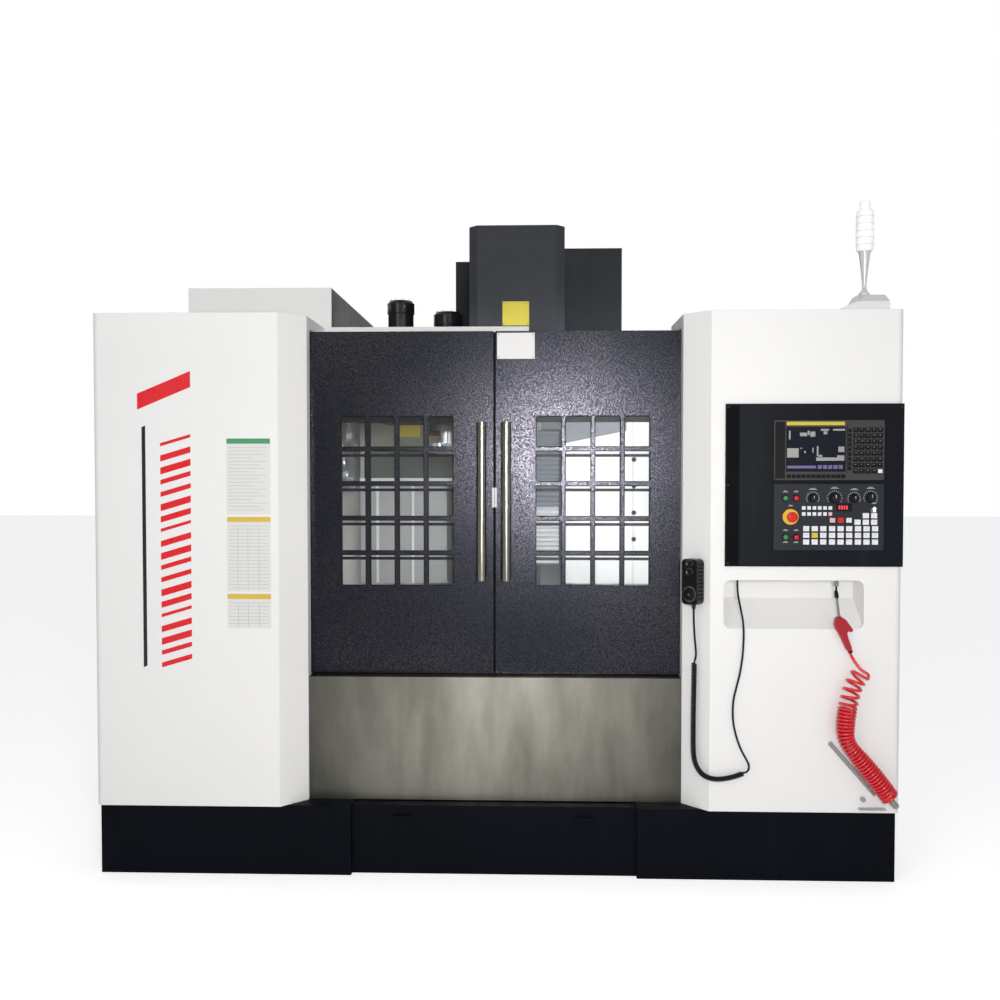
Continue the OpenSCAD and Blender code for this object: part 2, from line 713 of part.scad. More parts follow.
// Y and Z servo motors and the two motors on the changer's gearbox
module drive_motors() {
    color("#1b1d20") place() {
        block(spindle_x - 65, spindle_x + 65, column_front - 5, column_front + 8, trough_z, trough_z + 128);
        pin_d(spindle_x, y_screw_z + 2, column_front + 8, column_front + 170, 58);
        translate([spindle_x, z_screw_d, column_top + 40]) {
            translate([-65, -65, -40]) cube([130, 130, 40]);
            cylinder(d = 126, h = 150);
            translate([0, 0, 150]) cylinder(d = 100, h = 30);
        }
        changer_motor(gear_left + 88, 1000, 127, 187);
        changer_motor(gear_right - 98, 1000, 138, 133);
    }
}
module changer_motor(x, d, w, h) {
    translate([x, d, gear_top]) {
        translate([-w / 2, -w / 2, 0]) cube([w, w, 14]);
        translate([0, 0, 14]) rotate_extrude() polygon([[0, 0], [w / 2 - 4, 0], [w / 2 - 4, h - 80],
            [w / 2, h - 76], [w / 2, h - 34], [w / 2 - 10, h - 18], [0, h - 14]]);
    }
}

// saddle: casting on four carriages, with the X rails and a trough for the X screw
module saddle() {
    z1 = x_rail_z;
    color("#6c7278") place() {
        difference() {
            block(spindle_x - saddle_w / 2, spindle_x + saddle_w / 2, spindle_d - saddle_d / 2,
                spindle_d + saddle_d / 2, saddle_z, z1);
            block(spindle_x - saddle_w / 2 + 60, spindle_x + saddle_w / 2 - 40, spindle_d - nut_w / 2 - 15,
                spindle_d + nut_w / 2 + 15, x_screw_z - 55, z1 + 1);
            pin_x(spindle_x - saddle_w / 2 - 1, spindle_x + saddle_w / 2 + 1, spindle_d, x_screw_z,
                screw_d / 2 + fit);
            for (x = [-1, 1], d = [-1, 1]) block(spindle_x + x * 560 - 140, spindle_x + x * 560 + 140,
                spindle_d + d * 165 - 90, spindle_d + d * 165 + 90, saddle_z - 1, z1 - 50);
        }
        for (x = [-1, 1], d = [-1, 1]) translate([spindle_x + x * y_gauge / 2,
            spindle_d + d * (saddle_d / 2 - 70) + 60, bed_top]) rotate([90, 0, 0])
                linear_extrude(120) carriage_section();
        for (d = [-1, 1]) translate([spindle_x - saddle_w / 2, spindle_d + d * x_gauge / 2, z1])
            rotate([90, 0, 90]) linear_extrude(saddle_w) rail_section();
        difference() {
            block(spindle_x - nut_w / 2, spindle_x + nut_w / 2, spindle_d - 60, spindle_d + 60, y_screw_z - 40,
                saddle_z);
            pin_d(spindle_x, y_screw_z, spindle_d - 61, spindle_d + 61, screw_d / 2 + fit);
        }
    }
}
module x_motor() {
    x = spindle_x - saddle_w / 2;
    color("#1b1d20") place() {
        difference() {
            block(x - 70, x, spindle_d - 65, spindle_d + 65, x_screw_z - 65, x_screw_z + 50);
            pin_x(x - 60, x + 1, spindle_d, x_screw_z, screw_d / 2 + 4);
        }
        pin_x(x - 230, x - 70, spindle_d, x_screw_z - 6, 56);
    }
}

// table with T-slots, a coolant groove, four carriages and the X nut
module table() {
    z0 = table_top - table_t;
    x0 = spindle_x - table_w / 2;
    d0 = spindle_d - table_d / 2;
    color("#8b9096") place() {
        difference() {
            block(x0, x0 + table_w, d0, d0 + table_d, z0, table_top);
            for (i = [0:slots - 1]) translate([0, spindle_d + (i - (slots - 1) / 2) * slot_pitch, 0]) {
                block(x0 - 1, x0 + table_w + 1, -slot_w / 2, slot_w / 2, table_top - 22, table_top + 1);
                block(x0 - 1, x0 + table_w + 1, -slot_w * 0.85, slot_w * 0.85, table_top - 36, table_top - 21);
            }
            for (x = [x0 + 60, x0 + 640]) block(x, x + 500, d0 + 40, d0 + table_d - 40, z0 - 1, z0 + 40);
            for (d = [d0 - 1, d0 + table_d - 8]) block(x0 + 20, x0 + table_w - 20, d, d + 9, z0 + 20, z0 + 34);
        }
        for (x = [-1, 1], d = [-1, 1]) translate([spindle_x + x * table_block_x - 60, spindle_d + d * x_gauge / 2,
            x_rail_z]) rotate([90, 0, 90]) linear_extrude(120) carriage_section();
        for (x = [-1, 1]) block(spindle_x + x * table_block_x - 60, spindle_x + x * table_block_x + 60, spindle_d - x_gauge / 2 - 50,
            spindle_d + x_gauge / 2 + 50, z0, z0 + 41);
        difference() {
            block(spindle_x - 60, spindle_x + 60, spindle_d - nut_w / 2, spindle_d + nut_w / 2, x_screw_z - 40, z0);
            pin_x(spindle_x - 61, spindle_x + 61, spindle_d, x_screw_z, screw_d / 2 + fit);
        }
    }
}

// ball screws with end journals
module x_screw() {
    color("#c3c6ca") place() pin_x(spindle_x - saddle_w / 2 - 58, spindle_x + saddle_w / 2 - 4, spindle_d,
        x_screw_z, screw_d / 2);
}
module y_screw() {
    color("#c3c6ca") place() pin_d(spindle_x, y_screw_z, bed_front + 20, column_front - 5.3, screw_d / 2);
}
module z_screw() {
    color("#c3c6ca") place() translate([spindle_x, z_screw_d, z_low]) cylinder(d = screw_d,
        h = column_top - z_low - 0.3);
}

// head: casting with a rounded nose, a rear plate on four carriages, the nut and the spindle bore
module head() {
    carriage_z = [nose_z + 60, nose_z + 520];
    rear = carriage_d;
    color("#43484f") place() difference() {
        union() {
            block(spindle_x - head_w / 2, spindle_x + head_w / 2, spindle_d, rear, head_bottom, head_top);
            translate([spindle_x, spindle_d, head_bottom]) cylinder(d = head_w, h = head_top - head_bottom);
            translate([spindle_x, spindle_d, nose_z + 21]) cylinder(d = 220, h = 80);
            block(spindle_x - plate_w / 2, spindle_x + plate_w / 2, rear - 65, rear, nose_z + 50, nose_z + 650);
            along_x(spindle_x - head_w / 2, head_w) polygon([[rear - 65, head_top], [rear - 65, nose_z + 640],
                [rear - 260, head_top]]);
            for (s = [-1, 1], z = carriage_z) translate([spindle_x + s * z_gauge / 2, column_front, z])
                rotate([0, 0, 180]) linear_extrude(120) carriage_section();
            block(spindle_x - nut_w / 2, spindle_x + nut_w / 2, rear, z_screw_d + 40, nose_z + 300, nose_z + 420);
        }
        translate([spindle_x, spindle_d, nose_z]) cylinder(r = spindle_r + fit, h = 480);
        translate([spindle_x, z_screw_d, nose_z + 299]) cylinder(r = screw_d / 2 + fit, h = 122);
        for (x = [-1, 1]) block(spindle_x + x * 100 - 36, spindle_x + x * 100 + 36, spindle_d + 180, rear - 100,
            head_bottom + 60, head_top + 1);
    }
}
// hood over the head: chamfered front, closed top, inner flange on the head
module hood_plan(inset = 0) {
    w = hood_w / 2 - inset;
    c = hood_chamfer - inset * 0.4;
    f = hood_front + inset;
    polygon([[-w, 1380], [-w, f + c], [-w + c, f], [w - c, f], [w, f + c], [w, 1380]]);
}
module head_hood() {
    t = 2.5;
    bottom = nose_z + 180;
    color("#43484e") place() translate([spindle_x, 0, 0]) {
        translate([0, 0, bottom]) linear_extrude(hood_top - bottom) intersection() {
            difference() { hood_plan(); hood_plan(t); }
            translate([-300, 0]) square([600, 1370]);
        }
        translate([0, 0, hood_top - t]) linear_extrude(t) intersection() {
            hood_plan(t / 2);
            translate([-300, 0]) square([600, 1370]);
        }
        translate([0, 0, head_top]) linear_extrude(t) difference() {
            intersection() { hood_plan(t / 2); translate([-300, 0]) square([600, 1210]); }
            translate([0, spindle_d]) circle(d = 190);
        }
        for (x = [-97.5, 97.5], z = [hood_top - 158, hood_top - 394]) pin_d(x, z, hood_front - 3, hood_front, 7);
    }
}
// spindle motor on the head, with its flange, fins and fan cap
module spindle_motor() {
    fin_z = head_top + 60;
    color("#25282c") place() translate([spindle_x, spindle_d, 0]) {
        translate([0, 0, head_top]) difference() {
            cylinder(d = 184, h = 60);
            translate([0, 0, -1]) cylinder(r = spindle_r + 4, h = 40);
        }
        translate([0, 0, fin_z - 10]) cylinder(d = 210, h = 300);
        for (i = [0:5]) translate([0, 0, fin_z + 20 + i * 40]) cylinder(d = 240, h = 12);
        translate([0, 0, fin_z + 290]) cylinder(d = 180, h = 60);
    }
}
// spindle: nose with a taper bore and drive keys on a long shaft
module spindle() {
    gauge_r = 22.225;
    color("#c9ccd0") place() translate([spindle_x, spindle_d, nose_z]) {
        rotate_extrude($fn = 64) polygon([[gauge_r, 0], [64, 0], [64, 14], [58, 20.6], [spindle_r, 20.6],
            [spindle_r, 470], [0, 470], [0, 70], [gauge_r - 65 * 3.5 / 24, 65]]);
        for (a = [0, 180]) rotate([0, 0, a]) translate([27, -8, -6]) cube([26, 16, 7]);
    }
}

// changer gearbox with its bracket to the column and the magazine's hub
module changer_gearbox() {
    column_left = spindle_x - column_w / 2;
    color("#59616a") place() difference() {
        union() {
            block(gear_left, gear_right, gear_front, gear_rear, gear_bottom, gear_top);
            translate([arm_x, spindle_d, gear_bottom - 40]) cylinder(d = 120, h = 41);
            block(column_left - 90, column_left, gear_rear, column_front + 120, bracket_z0, bracket_z1);
            block(gear_left, column_left, gear_rear - 40, gear_rear + 60, 1780, 2120);
            block(disc_x + disc_t / 2 + 10, gear_left, disc_d - 260, disc_d + 60, 1780, 1920);
            pin_x(disc_x - disc_t / 2 - 40, disc_x + disc_t / 2 + 11, disc_d, disc_z, 40);
        }
        translate([arm_x, spindle_d, gear_bottom - 41]) cylinder(r = shaft_r + fit, h = arm_drop + 245);
    }
}
// round shaft that lowers the arm
module changer_shaft() {
    color("#c3c6ca") place() translate([arm_x, spindle_d, arm_z - 26]) {
        cylinder(r = shaft_r, h = gear_bottom - arm_z + 26 + arm_drop + 70);
        cylinder(r = shaft_r + 14, h = 6 - run);
    }
}
// two-ended arm with open gripper claws, parked along the depth axis
module claw() {
    difference() {
        hull() {
            translate([0, -arm_reach + 40]) circle(50, $fn = 32);
            translate([0, -60]) square([92, 40], center = true);
        }
        translate([0, -arm_reach]) circle(33, $fn = 48);
        translate([0, -arm_reach - 60]) square([60, 100], center = true);
        translate([42, -arm_reach - 8]) rotate(35) square([60, 40], center = true);
    }
}
module changer_arm() {
    color("#8c939a") place() translate([arm_x, spindle_d, arm_z - 20]) difference() {
        union() {
            linear_extrude(36) { claw(); rotate(180) claw(); }
            cylinder(d = 130, h = 44);
        }
        translate([0, 0, -1]) cylinder(r = shaft_r + fit, h = 60);
    }
}

// magazine disc with its pots, open towards the arm
module magazine_disc() {
    front = disc_x + disc_t / 2;
    color("#7d848b") place() translate([0, disc_d, disc_z]) difference() {
        union() {
            translate([disc_x - disc_t / 2, 0, 0]) rotate([0, 90, 0]) cylinder(r = pot_circle - 8, h = disc_t);
            for (i = [0:pots - 1]) rotate([i * 360 / pots, 0, 0]) translate([front - pot_l, 0, pot_circle])
                rotate([0, 90, 0]) cylinder(d = pot_d, h = pot_l, $fn = 32);
        }
        translate([disc_x - disc_t, 0, 0]) rotate([0, 90, 0]) cylinder(r = 40 + fit, h = disc_t * 2);
        for (i = [0:pots - 1]) rotate([i * 360 / pots, 0, 0]) translate([front - 68, 0, pot_circle])
            rotate([0, 90, 0]) cylinder(r1 = 14, r2 = 24, h = 69, $fn = 32);
        for (i = [0:5]) rotate([i * 60 + 15, 0, 0]) translate([disc_x - disc_t, 0, 190])
            rotate([0, 90, 0]) cylinder(r = 70, h = disc_t * 2, $fn = 32);
    }
}

// openings of a window, shifted down by the drop
module window_openings(drop = 0) {
    for (c = [0:window_cols - 1], r = [0:window_rows - 1])
        translate([-window_w / 2 + pane_w / 2 + c * (pane_w + bar_x),
            window_bottom + pane_h / 2 + r * (pane_h + bar_z) - drop]) children();
}
// a door: outer skin with rounded openings, folded edges, glass frame, inner grille, hangers and guide
module door(side) {
    t = 2;
    inner = seam_gap / 2;
    outer = inner + door_w;
    edge = 22;
    mirror([side < 0 ? 1 : 0, 0, 0]) {
        difference() {
            wall(door_front, door_t) translate([inner, door_bottom]) square([door_w, door_top - door_bottom]);
            wall(door_front + t, door_t - 2 * t) difference() {
                translate([inner + t, door_bottom + t]) square([door_w - 2 * t, door_top - door_bottom - 2 * t]);
                translate([window_x - window_w / 2 - edge, window_bottom - edge - grille_drop])
                    square([window_w + 2 * edge, window_h + 2 * edge + grille_drop]);
            }
            wall(door_front - 1, t + 2) translate([window_x, 0]) window_openings() round_rect(pane_w, pane_h, pane_r);
            wall(door_rear - t - 1, t + 2) translate([window_x, 0]) window_openings(grille_drop)
                square([pane_w - 3, pane_h + 2], center = true);
            wall(door_front + t, door_t - 2 * t) translate([window_x - window_w / 2 - 6, window_bottom - 6 - grille_drop])
                square([window_w + 12, window_h + 12 + grille_drop]);
        }
        for (x = [inner + 50, outer - 130]) {
            block(x, x + 80, door_rear, door_rear + 6, beam_top - 60, beam_top + 26);
            difference() {
                block(x, x + 80, door_rear, rail_bar_d + 14, beam_top + 4, beam_top + 26);
                block(x - 1, x + 81, rail_bar_d - rail_bar_w / 2 - run, rail_bar_d + rail_bar_w / 2 + run,
                    beam_top - 1, beam_top + rail_bar_h + run);
            }
            difference() {
                block(x, x + 80, door_rear, track_d + track_t + 10, track_top - 12, track_top + 8);
                block(x - 1, x + 81, track_d - 0.5, track_d + track_t + 0.5, track_top - 13, track_top + 0.5);
            }
        }
    }
}
// laminated pane clamped in a door's frame
module pane(side) {
    edge = 5.7;
    mirror([side < 0 ? 1 : 0, 0, 0]) wall(door_front + 2, 10)
        translate([window_x - window_w / 2 - edge, window_bottom - edge - grille_drop])
            square([window_w + 2 * edge, window_h + 2 * edge + grille_drop]);
}
// tubular handle on two standoffs
module handle(side) {
    axis_d = 90;
    translate([side * handle_x, axis_d, handle_z - handle_l / 2]) difference() {
        cylinder(d = handle_d, h = handle_l);
        translate([0, 0, -1]) cylinder(d = handle_d - 6, h = 30);
    }
    for (z = [handle_z - handle_l / 2 + 64, handle_z + handle_l / 2 - 64])
        pin_d(side * handle_x, z, axis_d + 10, door_front, 11);
}
module left_door() {
    color("#39424f") place() {
        door(-1);
        block(-seam_gap / 2, seam_gap / 2 - 1, door_front + 4, door_front + 16, handle_z - 24, handle_z + 52);
    }
}
module right_door() { color("#39424f") place() door(1); }
module left_glass() { color("#9fb0ad", 0.4) place() pane(-1); }
module right_glass() { color("#9fb0ad", 0.4) place() pane(1); }
module left_handle() { color("#c4c4bd") place() handle(-1); }
module right_handle() { color("#c4c4bd") place() handle(1); }

// control box with a flanged face, a hinge strip and a vent slot row at the rear
module control_box() {
    x1 = panel_left + panel_w;
    z1 = panel_bottom + panel_h;
    strip_w = 50;
    rear = door_front - 18;
    color("#12161d") place() difference() {
        union() {
            block(panel_left, x1, panel_face, 0, panel_bottom, z1);
            block(panel_left + 7, x1 - 15, 0, rear, panel_bottom + 7, z1 - 7);
        }
        block(panel_left + strip_w, panel_left + strip_w + 2, panel_face - 1, panel_face + 3, panel_bottom - 1, z1 + 1);
        for (i = [0:7]) block(panel_left + 150, x1 - 150, rear - 4, rear + 1, panel_bottom + 80 + i * 16,
            panel_bottom + 86 + i * 16);
    }
}
// a raised key, placed by its middle on a unit's face
module key(x, z, w, h, d = 4) { block(x - w / 2, x + w / 2, unit_face - d, unit_face + 1, z - h / 2, z + h / 2); }
// display unit: bezel, sunken screen, soft keys and the letter key field
module display_unit() {
    x = unit_left;
    z = display_bottom;
    screen_l = x + 44;
    screen_r = screen_l + 216;
    screen_b = z + 31;
    screen_t = screen_b + 164;
    color("#30343a") place() {
        difference() {
            block(x, x + unit_w, unit_face, panel_face, z, z + unit_h);
            block(screen_l, screen_r, unit_face - 1, unit_face + 4, screen_b, screen_t);
            block(x + 6, x + unit_w - 6, unit_face - 1, unit_face + 1, z + unit_h - 4, z + unit_h - 2);
        }
        for (i = [0:8]) key(screen_r + 14, screen_b + 12 + i * 17.4, 10, 12);
        for (i = [0:11]) key(screen_l + 9 + i * 18, z + 14, 13, 12);
        for (c = [0:4], r = [0:7]) key(screen_r + 36 + c * 22, z + 33 + r * 21.5, 17, 15);
    }
}
// key field: face plate, keys, lamps, sockets for knobs and buttons
module keypad() {
    x = unit_left;
    z = keys_bottom;
    color("#2b2f36") place() difference() {
        union() {
            block(x, x + unit_w, unit_face, panel_face, z, z + keys_h);
            for (g = [0:2], c = [0:2], r = [0:2]) key(x + 118 + g * 94 + c * 31, z + 31 + r * 24.5, 21, 18);
            for (c = [0:2]) key(x + 304 + c * 30, z + 104, 21, 18);
            for (c = [1:2]) key(x + 304 + c * 30, z + 128, 21, 18);
            for (c = [0:2]) key(x + 213 + c * 30, z + 111, 18, 16);
            for (c = [0:5], r = [0:1]) key(x + 109 + c * 19.3, z + 134 + r * 22, 12, 12, 2);
            translate([stop_x, unit_face - 3, stop_z]) rotate([-90, 0, 0]) cylinder(d = 56, h = 4);
            key(x + 256, z + 158, 52, 24, 3);
        }
        for (p = concat(button_places, knob_places, [switch_place])) pin_d(p[0], p[1], unit_face - 10, panel_face - 1, 9 + run);
        pin_d(stop_x, stop_z, unit_face - 10, panel_face - 1, 11 + run);
    }
}
stop_x = unit_left + 61;
stop_z = keys_bottom + 123;
button_places = [[unit_left + 42, keys_bottom + 192], [unit_left + 81, keys_bottom + 192],
    [unit_left + 43, keys_bottom + 49], [unit_left + 82, keys_bottom + 48]];
knob_places = [[unit_left + 142, keys_bottom + 192], [unit_left + 221, keys_bottom + 192],
    [unit_left + 292, keys_bottom + 191], [unit_left + 352, keys_bottom + 194]];
switch_place = [unit_left + 364, keys_bottom + 150];

// stop button: mushroom head on a stem
module stop_button() {
    color("#d01818") place() translate([stop_x, unit_face, stop_z]) rotate([90, 0, 0])
        rotate_extrude() polygon([[0, -3], [11, -3], [11, stop_h - 22], [stop_d / 2 - 2, stop_h - 19],
            [stop_d / 2, stop_h - 14], [stop_d / 2, stop_h - 7], [stop_d / 2 - 4, stop_h - 2],
            [stop_d / 2 - 10, stop_h], [0, stop_h]]);
}
// lit push button, flush ring and domed cap
module push_button(p, c) {
    color(c) place() translate([p[0], unit_face, p[1]]) rotate([90, 0, 0])
        rotate_extrude() polygon([[0, -3], [9, -3], [9, 7], [8, 10], [5, 11.5], [0, 12]]);
}
module start_button() { push_button(button_places[0], "#1f8a2f"); }
module hold_button() { push_button(button_places[1], "#c01515"); }
module power_on_button() { push_button(button_places[2], "#1f8a2f"); }
module power_off_button() { push_button(button_places[3], "#c01515"); }
// selector knob: skirt, waisted grip and a pointer notch
module knob(p, r) {
    color("#16181b") place() translate([p[0], unit_face - run, p[1]]) rotate([90, 0, 0]) difference() {
        union() {
            rotate_extrude() polygon([[0, 0], [r, 0], [r, 4], [r - 4, 7], [r - 5, 18], [r - 7, 20], [0, 20]]);
            translate([0, 0, -3 + run]) cylinder(r = 9, h = 4);
        }
        for (a = [0:30:330]) rotate(a) translate([r - 2.5, 0, 8]) cylinder(r = 2, h = 20, $fn = 12);
        translate([-1, r - 12, 18]) cube([2, 10, 3]);
    }
}
module mode_knob() { knob(knob_places[0], 17); }
module feed_knob() { knob(knob_places[1], 21); }
module rapid_knob() { knob(knob_places[2], 17); }
module spindle_knob() { knob(knob_places[3], 19); }

// key switch: turned collar with the key standing in it
module key_switch() {
    color("#b8babd") place() translate([switch_place[0], unit_face - run, switch_place[1]]) rotate([90, 0, 0]) {
        rotate_extrude() polygon([[0, -2.5], [9, -2.5], [9, 0], [12, 0], [12, 4], [10, 6], [0, 6]]);
        translate([-1.2, -9, 5]) cube([2.4, 18, 20]);
    }
}

// handset frame: origin in the middle of the slanted edge, X to the right along it, Y into the cabinet
module on_edge() {
    translate([open_h + chamfer_w / 2, chamfer_w / 2, pendant_z]) rotate([0, 0, -45]) translate([5, 0, 0]) children();
}
// handset: rounded body with two selectors, a dial socket, a holder plate and a tapered cable outlet
module pendant_body() {
    color("#17191c") place() {
        translate(handset_end[0]) cylinder(r1 = 6, r2 = 9, h = pendant_z - pendant_h / 2 - handset_end[0][2] + 4);
        on_edge() handset();
    }
}
module handset() {
    difference() {
        union() {
            facing(-8) linear_extrude(pendant_t - 8) round_rect(pendant_w, pendant_h, 18);
            facing(0) linear_extrude(8) round_rect(44, 90, 6);
            for (z = [64, 32]) pin_d(0, z, -pendant_t - 12, -pendant_t + 1, 11);
        }
        pin_d(0, dial_drop, -pendant_t - 1, -pendant_t + 12, 6 + run);
    }
}
// hand wheel of the handset
module pendant_dial() {
    color("#0e0f11") place() on_edge() {
        translate([0, -pendant_t - run, dial_drop]) rotate([90, 0, 0]) difference() {
            rotate_extrude() polygon([[0, 0], [24, 0], [24, 3], [20, 5], [20, 13], [18, 15], [0, 15]]);
            for (a = [15:30:345]) rotate(a) translate([20.6, 0, 7]) cylinder(r = 1.9, h = 12, $fn = 12);
        }
        pin_d(0, dial_drop, -pendant_t - 1, -pendant_t + 11, 6);
    }
}

// signal lamp: sloped foot and flared stem
module signal_stand() {
    x = 1370;
    d = 62;
    z = cab_top;
    foot = [[-104, -58, 0], [86, -58, 0], [86, 62, 0], [-104, 62, 0], [-34, -58, 30], [86, -58, 30],
        [-18, -20, 60], [80, -20, 60], [80, 50, 60], [-18, 50, 60], [86, 62, 30], [-34, 62, 30]];
    color("#d9dadb") place() translate([x, d, z]) {
        polyhedron(foot, [[0, 1, 2, 3], [0, 4, 5, 1], [4, 6, 7, 5], [6, 9, 8, 7], [1, 5, 10, 2], [5, 7, 8, 10],
            [0, 3, 11, 4], [4, 11, 9, 6], [2, 10, 11, 3], [10, 8, 9, 11]]);
        translate([10, 0, 60]) rotate_extrude() polygon([[0, 0], [19, 0], [19, 8], [13, 14], [8, 26], [8, 42],
            [13, 90], [20, 150], [24, 164], [0, 164]]);
    }
}
module signal_lamp() {
    color("#f4f4f2") place() translate([1380, 62, cab_top + 224]) rotate_extrude()
        polygon([[0, 0], [28, 0], [31, 6], [32, 70], [31, 140], [27, 152], [22, 153], [20, 154], [20, 178],
            [16, 184], [0, 184]]);
}

// air gun hung by its nozzle in the pocket: pipe, rubber tip, body with its trigger guard, grip
module air_gun() {
    gun_x = 1276;
    gun_d = -16;
    thick = 26;
    pipe_z = 985;
    tip_z = 1098;
    lean = atan((clip_d - gun_d) / (tip_z - pipe_z));
    color("#c41424") place() {
        translate([gun_x, gun_d, pipe_z]) rotate([-lean, 0, 0]) cylinder(d = 9, h = 112);
        translate([gun_x, gun_d, pipe_z]) rotate([-lean, 0, 0]) translate([0, 0, 90]) cylinder(d = 15, h = 26);
        translate([gun_x, 24, 1084]) cylinder(d = 7, h = 24);
        difference() {
            wall(gun_d - thick / 2, thick) polygon([[1258, 996], [1284, 998], [1298, 986], [1322, 952],
                [1318, 944], [1304, 946], [1314, 908], [1322, 880], [1308, 872], [1298, 884], [1272, 940],
                [1258, 962]]);
            pin_d(1275, 978, gun_d - thick, gun_d + thick, 4);
        }
    }
}
// clip for the gun's tip, guide strip, stop screw, tray and the hose's outlet
module hose_fittings() {
    last = coil_route[len(coil_route) - 1];
    way = last - coil_route[len(coil_route) - 2];
    reach = 30;
    end = last + unit(way) * reach;
    color("#9ea2a6") place() {
        block(1268, 1284, clip_d - 10, clip_d + 10, 1108, pocket_top);
        wall(-6, 6) polygon([[1241, 524], [1254, 534], [1424, 340], [1411, 329]]);
        pin_d(1371, 319, -14, 0, 9);
        block(1355, 1452, -22, 0, 283, 287);
        translate(last) rotate([0, atan2(way[0], way[2]), 0]) cylinder(r = 9, h = reach);
        pin_d(end[0], end[2], end[1], 0, 12);
    }
}

// cords
module pendant_cable() {
    color("#101113") place() { tube(handset_end, cable_d / 2, cord_fn); tube(rising_route, cable_d / 2, cord_fn); }
}
module pendant_coil() { color("#101113") place() tube(curl_route, curl_d / 2, cord_fn); }
module air_hose() { color("#d4141c") place() tube(hose_route, hose_d / 2, cord_fn); }
module air_hose_coil() { color("#d4141c") place() tube(coil_route, hose_coil_d / 2, 12); }

bed();
base_skirt();
coolant_tank();
leveling_feet();
left_cabinet();
right_cabinet();
apron();
door_rails();
rear_enclosure();
magazine_cover();
electrical_cabinet();
electrical_door();
column();
column_cover();
chain_guard();
guide_rails();
drive_motors();
saddle();
x_motor();
table();
x_screw();
y_screw();
z_screw();
head();
head_hood();
spindle_motor();
spindle();
changer_gearbox();
changer_shaft();
changer_arm();
magazine_disc();
left_door();
left_glass();
left_handle();
right_door();
right_glass();
right_handle();
control_box();
display_unit();
keypad();
stop_button();
start_button();
hold_button();
power_on_button();
power_off_button();
mode_knob();
feed_knob();
rapid_knob();
spindle_knob();
key_switch();
pendant_body();
pendant_dial();
signal_stand();
signal_lamp();
air_gun();
hose_fittings();
pendant_cable();
pendant_coil();
air_hose();
air_hose_coil();
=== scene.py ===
# Looks of the vertical machining centre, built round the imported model.
# Lengths are millimetres until a point is made; d is the depth behind the cabinets' front plane.
import math

import bmesh
import bpy
from mathutils import Matrix, Vector


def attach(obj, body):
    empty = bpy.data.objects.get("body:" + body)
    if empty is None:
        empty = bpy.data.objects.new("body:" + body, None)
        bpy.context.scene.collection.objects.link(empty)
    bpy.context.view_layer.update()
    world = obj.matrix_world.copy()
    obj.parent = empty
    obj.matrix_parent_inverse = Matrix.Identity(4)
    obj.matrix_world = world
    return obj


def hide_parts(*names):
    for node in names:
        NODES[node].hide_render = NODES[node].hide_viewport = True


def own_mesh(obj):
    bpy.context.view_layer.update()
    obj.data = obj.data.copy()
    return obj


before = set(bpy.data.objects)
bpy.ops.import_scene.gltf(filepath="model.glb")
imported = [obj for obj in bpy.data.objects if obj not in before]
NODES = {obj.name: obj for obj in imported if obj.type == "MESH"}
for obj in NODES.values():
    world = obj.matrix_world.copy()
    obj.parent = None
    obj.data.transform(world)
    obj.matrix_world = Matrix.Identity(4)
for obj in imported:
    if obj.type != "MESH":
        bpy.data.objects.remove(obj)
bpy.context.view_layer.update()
FRONT = -1.121
PLACE = Matrix.Translation((0.0, FRONT, 0.0))


def at(x, d, z):
    """A point of the machine in metres."""
    return Vector((x / 1000, d / 1000 + FRONT, z / 1000))


# camera and scene

scene = bpy.context.scene
scene.view_settings.view_transform = "Standard"
camera_data = bpy.data.cameras.new("camera")
camera_data.sensor_width = 36.0
camera_data.lens = 36.0 * 1.00399
camera = bpy.data.objects.new("camera", camera_data)
scene.collection.objects.link(camera)
scene.camera = camera
camera.location = at(142.75, -3734.97, 1532.49)
YAW = 0.03126
PITCH = 0.02807
camera.rotation_euler = (math.pi / 2 - PITCH, 0.0, YAW)


# materials

